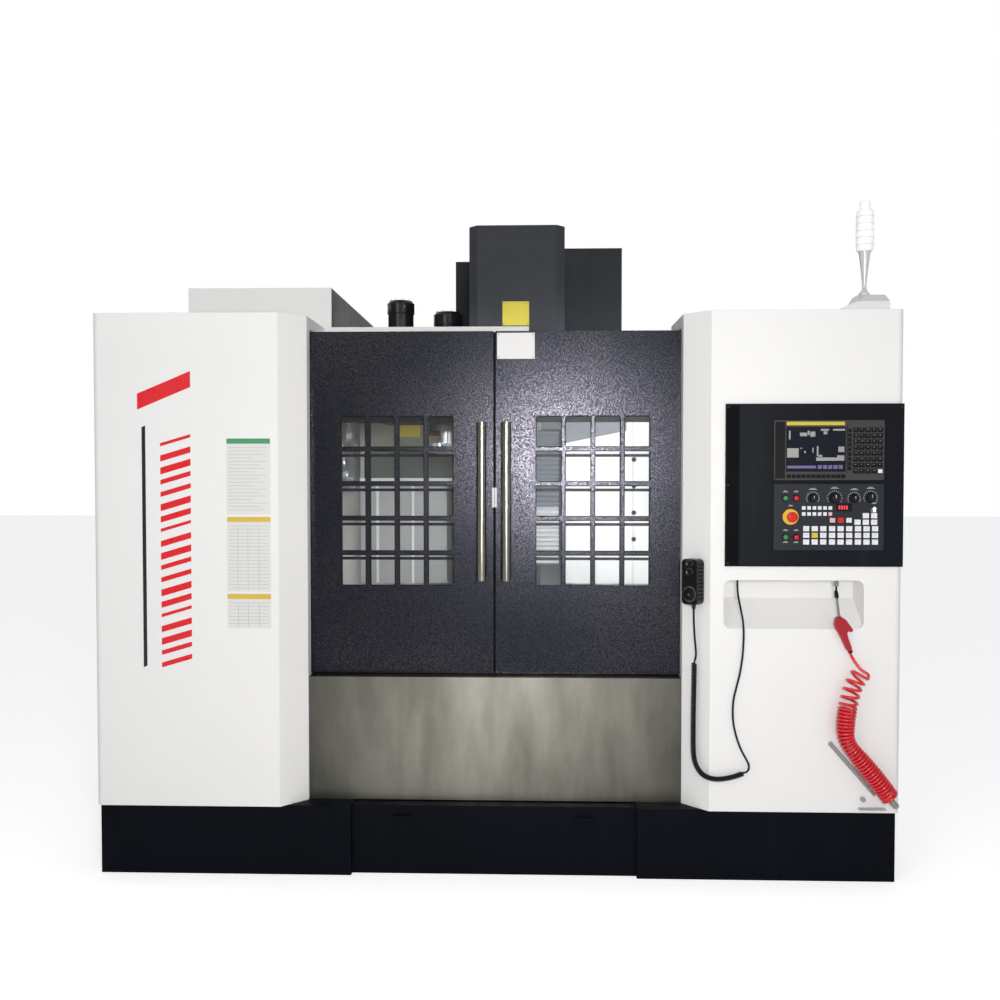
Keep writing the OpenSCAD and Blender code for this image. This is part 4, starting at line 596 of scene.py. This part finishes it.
screen = Shape()
SCREEN_D = UNIT_FACE + 3.6
screen.box(SCREEN_L + 0.5, SCREEN_R - 0.5, SCREEN_D, SCREEN_D + 0.4, SCREEN_B + 0.5, SCREEN_T - 0.5)
screen.use(1)
for x0, x1, z0, z1 in ((50, 76, 130, 143), (78, 86, 134, 150), (88, 106, 128, 147), (10, 16, 118, 150),
                       (126, 156, 150, 157), (170, 214, 150, 157), (136, 150, 137, 148), (4, 46, 52, 86),
                       (52, 58, 84, 88), (66, 72, 68, 76), (96, 100, 70, 88), (112, 118, 58, 94),
                       (116, 132, 54, 62), (110, 212, 40, 52), (186, 212, 52, 60), (190, 212, 72, 92)):
    screen.box(SCREEN_L + x0, SCREEN_L + x1, SCREEN_D - 0.25, SCREEN_D + 0.1, SCREEN_B + z0, SCREEN_B + z1)
screen.use(2)
screen.box(SCREEN_L + 4, SCREEN_L + 110, SCREEN_D - 0.25, SCREEN_D + 0.1, SCREEN_B + 12, SCREEN_B + 22)
for i in range(5):
    screen.box(SCREEN_L + 116 + i * 19, SCREEN_L + 131 + i * 19, SCREEN_D - 0.25, SCREEN_D + 0.1,
               SCREEN_B + 10, SCREEN_B + 24)
screen.use(3)
screen.box(SCREEN_L + 1, SCREEN_R - 4, UNIT_FACE - 0.5, UNIT_FACE + 0.2, DISPLAY_Z + 201, DISPLAY_Z + 214)
screen.use(4)
screen.box(UNIT_X + 4, UNIT_X + 40, UNIT_FACE - 0.4, UNIT_FACE + 0.2, DISPLAY_Z + 6, DISPLAY_Z + 214)
screen.box(SCREEN_R + 4, SCREEN_R + 6, UNIT_FACE - 1.2, UNIT_FACE + 0.2, SCREEN_B - 6, SCREEN_T + 6)
screen.finish("display_screen", [SCREEN, SCREEN_PALE, SCREEN_BLUE, PLATE_YELLOW, KEY_BLACK], "base",
              "unit_plastic", 0.1)

marks = Shape()
marks.box(UNIT_X + 228, UNIT_X + 284, UNIT_FACE - 3.8, UNIT_FACE - 0.2, KEYS_Z + 144, KEYS_Z + 172)
marks.use(1)
for i in range(4):
    marks.box(UNIT_X + 235 + i * 9, UNIT_X + 241 + i * 9, UNIT_FACE - 4.0, UNIT_FACE - 3.7,
              KEYS_Z + 151, KEYS_Z + 165)
marks.use(2)
KNOBS = {"mode_knob": (142, 192, 17), "feed_knob": (221, 192, 21), "rapid_knob": (292, 191, 17),
         "spindle_knob": (352, 194, 19)}
for x, z, r in KNOBS.values():
    for i in range(15):
        a = math.radians(-30 + i * 240 / 14)
        centre = (UNIT_X + x + (r + 5.5) * math.cos(a), KEYS_Z + z + (r + 5.5) * math.sin(a))
        marks.slanted(centre, (5.0, 1.5), math.degrees(a), UNIT_FACE - 0.25, UNIT_FACE + 0.1)
    for i, wide in enumerate((30, 18)):
        marks.box(UNIT_X + x - wide / 2, UNIT_X + x + wide / 2, UNIT_FACE - 0.25, UNIT_FACE + 0.1,
                  KEYS_Z + z + r + 14 + 4 * i, KEYS_Z + z + r + 15.6 + 4 * i)
for x, z in ((42, 214), (81, 214), (61, 162), (43, 72), (82, 72), (43, 28), (82, 28), (364, 172)):
    marks.box(UNIT_X + x - 9, UNIT_X + x + 9, UNIT_FACE - 0.25, UNIT_FACE + 0.1, KEYS_Z + z, KEYS_Z + z + 1.6)
    marks.box(UNIT_X + x - 5, UNIT_X + x + 6, UNIT_FACE - 0.25, UNIT_FACE + 0.1, KEYS_Z + z + 3.4,
              KEYS_Z + z + 4.8)
marks.finish("field_marks", [KEY_BLACK, SCREEN_RED, TICKS], "base", "unit_plastic", 0.1)

for node_name, (x, z, r) in KNOBS.items():
    line = Shape()
    line.box(UNIT_X + x - 1.1, UNIT_X + x + 1.1, UNIT_FACE - 20.9, UNIT_FACE - 20.1, KEYS_Z + z,
             KEYS_Z + z + r - 8)
    line.finish(node_name + "_line", [TICKS], node_name, "knob_plastic", 0.2)

rings = Shape()
rings.use(0).lathe([(12, 0.2), (29, 0.2), (29, 3.2), (27.5, 4.6), (13.5, 4.6), (12, 3.4)],
                   (UNIT_X + 61, UNIT_FACE, KEYS_Z + 123), steps=48)
rings.use(1)
for x, z in ((42, 192), (81, 192), (43, 49), (82, 48)):
    rings.lathe([(9.6, 0.1), (12.5, 0.1), (12.5, 2.6), (11.4, 3.6), (9.6, 3.6)],
                (UNIT_X + x, UNIT_FACE, KEYS_Z + z), steps=32)
rings.finish("button_collars", [YELLOW, KEY_BLACK], "base", "unit_plastic")

trim = Shape()
for x in (868, 1498):
    for z in (1196, 1483, 1770):
        trim.lathe([(0, 0), (5, 0), (5, 1.6), (3.6, 2.6), (0, 2.6)], (x, PANEL_FACE, z), steps=20)
for x in (UNIT_X + 5, UNIT_X + 395):
    for z in (DISPLAY_Z + 5, DISPLAY_Z + 215, KEYS_Z + 5, KEYS_Z + 239):
        trim.lathe([(0, 0), (2.6, 0), (2.6, 0.8), (0, 1.4)], (x, UNIT_FACE, z), steps=16)
trim.use(1)
trim.box(UNIT_X - 3, UNIT_X + 403, PANEL_FACE - 1.2, PANEL_FACE + 0.2, DISPLAY_Z - 3, DISPLAY_Z + 223)
trim.box(UNIT_X - 3, UNIT_X + 403, PANEL_FACE - 1.2, PANEL_FACE + 0.2, KEYS_Z - 3, KEYS_Z + 247)
trim.use(2).box(861, 906.5, PANEL_FACE - 1.0, PANEL_FACE + 0.2, 1189.5, 1776.5)
trim.finish("panel_trim", [KNOB, PANEL, PANEL_DARK], "base", "panel_paint", 0.3)


# handset on the slanted edge

TURN = Matrix.Rotation(math.radians(-45), 4, "Z")
HANDSET = Matrix.Translation(at(764.54, 41.46, 1123)) @ TURN
handset = Shape(HANDSET)
handset.box(-30, 30, -48.9, -47.6, -79, 79)
handset.use(1)
for z in (64, 32):
    handset.lathe([(0, 0), (14, 0), (14, 3), (11.6, 5), (11.2, 15), (9.5, 17), (0, 17)], (0, -48, z),
                  steps=24)
for z in (-8, -20):
    handset.lathe([(0, 0), (4, 0), (4, 2.4), (0, 3)], (-20, -48, z), steps=16)
handset.use(2)
for z in (64, 32):
    handset.box(-0.8, 0.8, -65.4, -64.6, z - 1, z + 9)
    for i in range(7):
        a = math.radians(20 + i * 140 / 6)
        handset.slanted((18 * math.cos(a), z + 18 * math.sin(a)), (3.0, 1.0), math.degrees(a), -49.1, -48.7)
for i in range(40):
    a = math.radians(i * 9)
    handset.slanted((27.2 * math.cos(a), -45 + 27.2 * math.sin(a)), (3.0 if i % 5 else 4.6, 1.0),
                    math.degrees(a), -49.1, -48.7)
handset.use(3)
for z in (-60, -46, -32, -18, -4, 10, 24, 38, 52, 66):
    for x in (-36.6, 35.4):
        handset.box(x, x + 1.2, -42, -14, z - 3, z + 3)
handset.finish("handset_trim", [KEY_BLACK, KNOB, TICKS, GASKET], "base", "knob_plastic", 0.4)

wheel = Shape(HANDSET)
wheel.use(0)
for i in range(24):
    a = math.radians(i * 15)
    wheel.lathe([(0, 0), (1.5, 0.3), (1.5, 6), (0, 7)], (18.6 * math.cos(a), -56, -45 + 18.6 * math.sin(a)),
                (0, -1, 0), 8)
wheel.use(1)
wheel.lathe([(0, 0), (17, 0), (17, 0.4), (15, 0.9), (0, 0.5)], (0, -63.2, -45), steps=32)
wheel.use(2).lathe([(0, 0), (4, 0), (4, 1), (3.4, 4), (0, 5)], (9, -63.6, -45), steps=16)
wheel.finish("handset_wheel_trim", [KNOB, KEY_BLACK, METAL], "pendant_dial", "knob_plastic", 0.3)


# air gun: pipe, tip, body, lever and hose nipple

gun = Shape()
gun.prism([(1260, 996), (1270, 1000), (1284, 999), (1299, 988), (1311, 971), (1321, 955), (1323, 948),
           (1317, 944), (1305, 947), (1303, 936), (1308, 920), (1314, 904), (1320, 886), (1321, 879),
           (1314, 873), (1307, 872), (1300, 880), (1291, 899), (1280, 922), (1270, 941), (1260, 957),
           (1256, 972)], "d", -29, -3)
gun_body = gun.finish("air_gun_body", [GUN], "base", "gun_red", 6.5)
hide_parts("air_gun")
gun_parts = Shape()
lean = Vector((0, 46, 113)).normalized()
start = (1276, -16, 985)
gun_parts.lathe([(4.5, 0), (4.5, 100), (3.4, 112)], start, lean, 20)
gun_parts.lathe([(8, 8), (8, 16), (6.5, 19)], start, lean, 24)
gun_parts.use(1).lathe([(5, 84), (7.5, 88), (7.5, 106), (4, 116), (3.5, 117)], start, lean, 20)
gun_parts.lathe([(3.5, 0), (3.5, 24)], (1276, 24, 1084), (0, 0, 1), 16)
gun_parts.use(2).prism([(1301, 985), (1316, 966), (1326, 950), (1322, 944), (1311, 962), (1298, 979)],
                       "d", -22, -10)
gun_parts.use(1).lathe([(7, 0), (8.5, 3), (8.5, 13), (6.5, 18)], (1313, -16, 882), Vector((7, -1, -20)), 18)
gun_parts.finish("air_gun_fittings", [METAL, RUBBER, RED], "base", "gun_red", 1.0)


# plain graphics on the left cabinet, door plate and plate on the hood

film = Shape()
film.prism([(-1338, 1826), (-1136, 1910), (-1136, 1850), (-1338, 1766)], "d", -0.4, 0.1)
for i in range(19):
    z = 1640 - i * 46
    high = 12 + 14 * abs(math.sin(i * 0.9))
    film.prism([(-1252, z - high), (-1137, z - high + 34), (-1137, z + 34), (-1252, z)], "d", -0.4, 0.1)
film.use(1)
film.prism([(-1322, 1700), (-1308, 1706), (-1308, 800), (-1322, 794)], "d", -0.4, 0.1)
film.finish("cabinet_stripes", [FILM_RED, FILM_BLACK], "base", "red_plastic")

sheets = Shape()
SHEETS = ((1658, 1372, 0), (1364, 1082, 1), (1074, 943, 1))
for top, low, tone in SHEETS:
    sheets.use(0).box(-1001, -835, -0.4, 0.1, low, top)
    sheets.use(1 + tone).box(-1000, -836, -0.6, -0.3, top - 20, top - 1)
    sheets.use(3)
    rows = int((top - low - 34) / 13)
    for i in range(rows):
        z = top - 34 - i * 13
        wide = 150 if tone else (148, 120, 140, 96)[i % 4]
        sheets.box(-994, -994 + wide, -0.55, -0.3, z - 1.1, z)
    if tone:
        for x in (-960, -922, -880):
            sheets.box(x, x + 1, -0.55, -0.3, low + 6, top - 34)
sheets.finish("cabinet_sheets", [FILM_WHITE, FILM_GREEN, FILM_YELLOW, FILM_GREY], "base", "lamp_plastic")

door_plate = Shape()
door_plate.box(10, 155, 149.2, 150.2, 1968, 2068)
door_plate.use(1)
for x in (17, 148):
    for z in (1975, 2061):
        door_plate.lathe([(0, 0), (3, 0), (3, 0.6), (1.6, 1.5), (0, 1.7)], (x, 149.2, z), steps=14)
door_plate.finish("door_plate", [FILM_WHITE, METAL], "right_door", "lamp_plastic", 0.4)

hood_plate = Shape()
hood_plate.box(15, 132, 698.6, 700.1, 2176, 2281)
hood_plate.use(1)
for x in (22, 125):
    for z in (2183, 2274):
        hood_plate.lathe([(0, 0), (3, 0), (3, 0.6), (1.6, 1.5), (0, 1.7)], (x, 698.6, z), steps=14)
hood_plate.finish("hood_plate", [PLATE_YELLOW, METAL], "head", "cover_paint", 0.5)


# windows: rubber seats and rounded corners in the openings, black strips across the openings, seam brushes

WINDOW_X = 380
WINDOW_HALF = 220.5
WINDOW_LOW = 1090
PANE_HALF_W = 50.25
PANE_HALF_H = 60.5
CELL_W = 113.5
CELL_H = 134.5
STRIP_RISE = 36.5


def window_seats(side, body):
    seats = Shape()
    for c in range(4):
        for r in range(5):
            x = side * WINDOW_X - WINDOW_HALF + PANE_HALF_W + c * CELL_W
            z = WINDOW_LOW + PANE_HALF_H + r * CELL_H
            for x0, x1, z0, z1 in ((-50.2, 50.2, 57.5, 60.4), (-50.2, 50.2, -60.4, -57.5),
                                   (-50.2, -47.5, -60, 60), (47.5, 50.2, -60, 60)):
                seats.use(0).box(x + x0, x + x1, 149.6, 151.9, z + z0, z + z1)
            seats.use(1)
            for sx, sz in ((-1, -1), (1, -1), (1, 1), (-1, 1)):
                corner = [(x + sx * (50.2 - a), z + sz * (60.4 - b))
                          for a, b in ((0, 0), (9, 0), (3, 3), (0, 9))]
                seats.prism(corner, "d", 149.5, 151.8)
    seats.use(0)
    # black strips across each row of openings, a little below the tops of the panes; the lowest strip is
    # wider
    for r in range(5):
        low = WINDOW_LOW + PANE_HALF_H + r * CELL_H + STRIP_RISE
        high = low + (25 if r == 4 else 11.5)
        seats.box(side * WINDOW_X - 222, side * WINDOW_X + 222, 187.3, 187.9, low, high)
    seats.finish(body + "_seats", [GASKET, DOOR], body, "door_paint", 0.2)


window_seats(-1, "left_door")
window_seats(1, "right_door")


for side, body in ((-1, "left_door"), (1, "right_door")):
    seam = Shape()
    low, high = sorted((side * 0.3, side * 4.6))
    seam.box(low, high, 153, 187, 752, 2072)
    seam.use(1)
    low, high = sorted((side * 0.4, side * 9.5))
    seam.box(low, high, 147.8, 150.2, 1395, 1471)
    seam.finish(body + "_seam", [GASKET, LATCH], body, "door_paint", 0.4)


# inside the enclosure

inside = Shape()
# the left inner wall takes the darker copy of the inner sheet as painted shade
inside.use(9).box(-735, -290, 1393, 1395, 962, 2090)
inside.use(0).box(306, 1488, 1390, 1392, 962, 2100)
for x in (-652, -470):
    inside.box(x, x + 12, 1385, 1393, 962, 1480)
for x in (900, 1180):
    inside.box(x, x + 8, 1383, 1390, 962, 2100)
inside.box(-735, -262, 1370, 1386, 1484, 1500)
inside.use(1).box(-712, -392, 1377, 1386, 1640, 1812)
inside.box(-392, -262, 1379, 1386, 1636, 1710)
inside.use(2).box(-712, -262, 1376, 1386, 1501, 1632)
inside.use(3).box(-545, -424, 1372, 1378, 1709, 1801)
inside.use(4).box(-390, -268, 1374, 1379, 1734, 1812)
inside.use(5).box(-390, -268, 1373, 1379, 1716, 1734)
# painted shade: a grey-blue sheet with a slanted lower edge over the upper part of the right inner wall
inside.use(6).prism([(306, 1677), (625, 1741), (625, 1789), (306, 1789)], "d", 1384, 1390)
# painted shadow: black strips along the tops of the right and left window openings, behind the glass
inside.use(7).box(306, 612, 1382, 1390, 1789, 1828)
inside.box(-735, -262, 1374, 1386, 1814, 1826)
inside.use(8).box(656, 670, 1382, 1390, 962, 2100)
inside.use(7)
for z in (1190, 1325, 1460, 1595):
    inside.lathe([(0, 0), (12, 0), (12, 3), (8, 6), (0, 6)], (663, 1382, z), steps=16)
inside.finish("inner_walls", [INNER, OLIVE, OLIVE_DARK, PLATE_YELLOW, BROWN, BRICK, PAINTED_SHADE_BLUE, GASKET, GREY,
               INNER_PAINTED_SHADE],
              "base", "white_paint", 0.6)

lamp = Shape()
for x in (-660, 560):
    lamp.use(0).box(x, x + 420, 250, 290, 2052, 2084)
    lamp.use(1).box(x + 12, x + 408, 256, 284, 2049, 2053)
lamp.finish("work_lights", [METAL, WORK_LIGHT], "base", "fitting_metal", 2.0)

bellows = Shape()
FOLDS = 30
LOW, HIGH = 1052.0, 1748.0
STEP = (HIGH - LOW) / FOLDS


def folds(first, last):
    outline = [(1436 if i % 2 else 1462, LOW + i * STEP / 2) for i in range(first * 2, last * 2 + 1)]
    bellows.prism(outline + [(1466, LOW + last * STEP), (1466, LOW + first * STEP)], "x", -128, 284)


# painted light and shade: the lower folds take the pale copy, the upper folds the grey-blue copy
folds(0, 13)
bellows.use(1)
folds(13, FOLDS)
bellows_piece = bellows.finish("column_bellows", [BELLOWS_PAINTED_LIT, BELLOWS_PAINTED_SHADE], "base", "cable_rubber")
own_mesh(bellows_piece)

nose = Shape()
nose.lathe([(66, 2), (84, 2), (90, 8), (90, 20), (70, 24), (66, 24)], (78, 890, 1700), (0, 0, 1), 48)
nose.use(1)
for a in (35, 110, 200, 300):
    c, s = math.cos(math.radians(a)), math.sin(math.radians(a))
    for i, (r, z, size) in enumerate(((80, 1703, 9), (82, 1689, 8.6), (80, 1675, 8.2), (74, 1662, 7.6),
                                      (66, 1650, 7))):
        nose.lathe([(size * 0.6, 0), (size, 4), (size, 9), (size * 0.6, 14)],
                   (78 + r * c, 890 + r * s, z), (-c * 0.12 * i, -s * 0.12 * i, -1), 14)
nose.finish("coolant_ring", [METAL, PLATE_YELLOW], "head", "fitting_metal", 0.6)


# top: dark grey sheet painted on the magazine cover's right side as its shade, motor rings, bolt heads and a
# fitting

# painted shade: a dark grey sheet with slats laid over the magazine cover's right side wall, standing in for
# its shadowed side
top = Shape()
top.box(-715.2, -713.4, 572, 1774, 2131, 2318)
top.use(1)
for i in range(12):
    d = 1300 + i * 22
    top.prism([(d, 2180), (d + 12, 2180), (d + 12, 2270), (d, 2270)], "x", -713.6, -711.5)
top.finish("magazine_side_painted_shade", [PAINTED_SHADE_GREY, PAINTED_SHADE_GREY], "base", "grey_paint", 0.8)

motor_trim = Shape()
for x, w, h in ((-472, 127, 187), (-248, 138, 133)):
    for z in (2164 + h - 78, 2164 + h - 34):
        motor_trim.lathe([(w / 2 - 1, 0), (w / 2 + 0.9, 0.8), (w / 2 + 0.9, 3.2), (w / 2 - 1, 4)],
                         (x, 1000, z), (0, 0, 1), 48)
    for i in range(8):
        a = math.radians(i * 45 + 20)
        motor_trim.lathe([(0, 0), (3.2, 0), (3.2, 2), (0, 2.6)],
                         (x + (w / 2 - 16) * math.cos(a), 1000 + (w / 2 - 16) * math.sin(a), 2150 + h),
                         (0, 0, 1), 10)
motor_trim.use(1)
motor_trim.lathe([(0, 0), (5, 0), (5, 3), (2, 6), (0, 6)], (-448, 943, 2300), (0.3, -1, 0), 16)
motor_trim.finish("motor_trim", [MOTOR, METAL], "base", "motor_paint", 0.0)

stand = Shape()
for z in (2372, 2398, 2424, 2450, 2476):
    stand.lathe([(30.6, 0), (32.5, 0.6), (32.5, 2.4), (30.6, 3)], (1380, 62, z), (0, 0, 1), 40)
stand.finish("lamp_rings", [FILM_WHITE], "base", "lamp_plastic")


# base, sides and rear

bolts = Shape()
for x in (-1440, -1000, -600, 600, 1000, 1440):
    bolts.lathe([(0, 0), (6, 0), (6, 2), (4, 4), (0, 4)], (x, 20, 240), steps=12)
bolts.finish("base_bolts", [BASE], "base", "base_paint")

sides = Shape()
for s in (-1, 1):
    x0, x1 = (s * 1510, s * 1511.8)
    low, high = min(x0, x1), max(x0, x1)
    sides.use(0).box(low, high, 860, 1760, 420, 1960)
    sides.box(low, high, 60, 660, 420, 1960)
    sides.use(1)
    for i in range(14):
        z = 600 + i * 26
        face0, face1 = min(s * 1511, s * 1515), max(s * 1511, s * 1515)
        sides.prism([(1000, z), (1620, z), (1620, z + 12), (1000, z + 12)], "x", face0, face1)
    sides.use(2)
    for d, z in ((890, 700), (890, 1680), (1730, 700), (1730, 1680), (90, 700), (90, 1680), (630, 700),
                 (630, 1680)):
        sides.lathe([(0, 0), (11, 0), (11, 2), (8, 4), (0, 4)], (s * 1511.5, d, z), (s, 0, 0), 20)
sides.finish("side_panels", [WHITE, GREY, METAL], "base", "white_paint", 0.9)

rear = Shape()
for x0, x1, z0, z1 in ((-560, -60, 1560, 1980), (60, 560, 1560, 1980)):
    rear.use(0).box(x0, x1, 2296, 2299, z0, z1)
    for i in range(12):
        z = z0 + 40 + i * 30
        rear.prism([(2299, z), (2306, z + 2), (2299, z + 16)], "x", x0 + 40, x1 - 40)
rear.use(1)
for z in (700, 1250, 1800):
    rear.lathe([(0, 0), (15, 0), (15, 3), (11, 5), (0, 5)], (590, 2296, z), (0, 1, 0), 24)
rear.use(2).box(380, 470, 2296, 2299, 1330, 1440)
rear.use(3).lathe([(0, 0), (26, 0), (26, 8), (22, 14), (22, 22), (0, 22)], (425, 2299, 1385), (0, 1, 0), 32)
rear.use(3).box(419, 431, 2318, 2330, 1363, 1407)
rear.finish("cabinet_door_trim", [GREY, METAL, YELLOW, RED], "electrical_door", "grey_paint", 0.8)

service = Shape()
service.use(0).box(900, 1300, 1900, 1903, 500, 1100)
service.use(1).box(940, 1100, 1903, 1980, 760, 1000)
service.use(2).box(955, 1085, 1905, 1975, 640, 760)
service.use(3)
for x in (1150, 1200, 1250):
    service.lathe([(0, 0), (22, 0), (22, 60), (16, 72), (0, 74)], (x, 1935, 700), (0, 0, -1), 24)
    service.lathe([(0, 0), (18, 0), (18, 26), (0, 30)], (x, 1935, 700), (0, 0, 1), 24)
service.box(1130, 1270, 1903, 1925, 690, 720)
service.use(0)
for i in range(9):
    service.box(-1340, -760, 1900, 1904, 620 + i * 90, 640 + i * 90)
service.finish("service_units", [GREY, UNIT, FILM_WHITE, METAL], "base", "grey_paint", 1.5)


# light, floor and background

def area(name, place, target, size, power, colour=(1.0, 1.0, 1.0)):
    data = bpy.data.lights.new(name, "AREA")
    data.shape = "DISK"
    data.size = size
    data.energy = power
    data.color = colour
    lamp_object = bpy.data.objects.new(name, data)
    scene.collection.objects.link(lamp_object)
    lamp_object.location = place
    aim = Vector(target) - Vector(place)
    lamp_object.rotation_euler = aim.to_track_quat("-Z", "Y").to_euler()


area("key", (-2.8, -6.2, 4.4), (0.0, -0.9, 1.2), 3.2, 60.0)
area("fill", (3.4, -6.2, 3.0), (0.2, -0.9, 1.2), 3.2, 26.0)
area("flash", (0.40, -4.95, 1.66), (0.1, -1.0, 1.5), 0.6, 82.0, (1.0, 0.975, 0.98))
area("inside_right", (0.66, -0.72, 1.97), (0.6, 0.3, 1.2), 0.3, 8.5)
area("inside_right_low", (0.62, -0.68, 0.88), (0.55, 0.3, 1.35), 0.3, 7.0)
area("inside_left", (-0.45, -0.72, 1.97), (-0.5, 0.3, 1.3), 0.3, 7.0)

# The background stays white; what mirrors the front half sees a dim hall with soft upright bands.
world = bpy.data.worlds.new("studio")
scene.world = world
world.use_nodes = True
tree = world.node_tree
tree.nodes.clear()


def world_math(kind, *values):
    made = tree.nodes.new("ShaderNodeMath")
    made.operation = kind
    made.use_clamp = True
    for socket, value in zip(made.inputs, values):
        if isinstance(value, float):
            socket.default_value = value
        else:
            tree.links.new(value, socket)
    return made.outputs[0]


rays = tree.nodes.new("ShaderNodeLightPath")
direction = tree.nodes.new("ShaderNodeTexCoord").outputs["Generated"]
parts = tree.nodes.new("ShaderNodeSeparateXYZ")
tree.links.new(direction, parts.inputs[0])
upright = tree.nodes.new("ShaderNodeMapping")
upright.inputs["Scale"].default_value = (5.0, 5.0, 0.7)
tree.links.new(direction, upright.inputs["Vector"])
bands = tree.nodes.new("ShaderNodeTexNoise")
bands.inputs["Scale"].default_value = 1.3
bands.inputs["Detail"].default_value = 2.0
tree.links.new(upright.outputs["Vector"], bands.inputs["Vector"])
front_share = world_math("MULTIPLY_ADD", world_math("MULTIPLY", parts.outputs["Y"], -1.0), 3.0, 0.3)
seen = world_math("MAXIMUM", rays.outputs["Is Camera Ray"], rays.outputs["Is Transmission Ray"])
bright = tree.nodes.new("ShaderNodeBackground")
bright.inputs["Color"].default_value = (1.0, 1.0, 1.0, 1.0)
soft = tree.nodes.new("ShaderNodeBackground")
soft.inputs["Color"].default_value = (0.97, 0.98, 1.0, 1.0)
soft.inputs["Strength"].default_value = 0.40
hall = tree.nodes.new("ShaderNodeBackground")
hall.inputs["Color"].default_value = (0.84, 0.94, 1.0, 1.0)
tree.links.new(world_math("MULTIPLY_ADD", bands.outputs["Fac"], 0.5, -0.12), hall.inputs["Strength"])


def world_mix(factor, first, second):
    made = tree.nodes.new("ShaderNodeMixShader")
    tree.links.new(factor, made.inputs[0])
    tree.links.new(first.outputs[0], made.inputs[1])
    tree.links.new(second.outputs[0], made.inputs[2])
    return made


mirrored = world_mix(front_share, bright, hall)
unseen = world_mix(rays.outputs["Is Glossy Ray"], soft, mirrored)
world_out = tree.nodes.new("ShaderNodeOutputWorld")
tree.links.new(world_mix(seen, unseen, bright).outputs[0], world_out.inputs["Surface"])

floor_graph = Graph("floor")
floor_tone = floor_graph.mix(floor_graph.noise(0.8, 2.0), (0.86, 0.86, 0.86), (0.88, 0.88, 0.88))
floor_graph.link(floor_tone, "Base Color")
floor_graph.put(Roughness=0.8, Emission_Color=(1.0, 1.0, 1.0, 1.0))
floor_rays = floor_graph.node("ShaderNodeLightPath")
lift = floor_graph.node("ShaderNodeMath", operation="MULTIPLY")
lift.inputs[1].default_value = 0.52
floor_graph.tree.links.new(floor_rays.outputs["Is Camera Ray"], lift.inputs[0])
floor_graph.link(lift.outputs[0], "Emission Strength")
floor_data = bpy.data.meshes.new("floor")
FLOOR_Z = -0.001
floor_corners = [(-30, -30, FLOOR_Z), (30, -30, FLOOR_Z), (30, 30, FLOOR_Z), (-30, 30, FLOOR_Z)]
floor_data.from_pydata(floor_corners, [], [(0, 1, 2, 3)])
floor_data.materials.append(floor_graph.material)
floor = bpy.data.objects.new("floor", floor_data)
scene.collection.objects.link(floor)
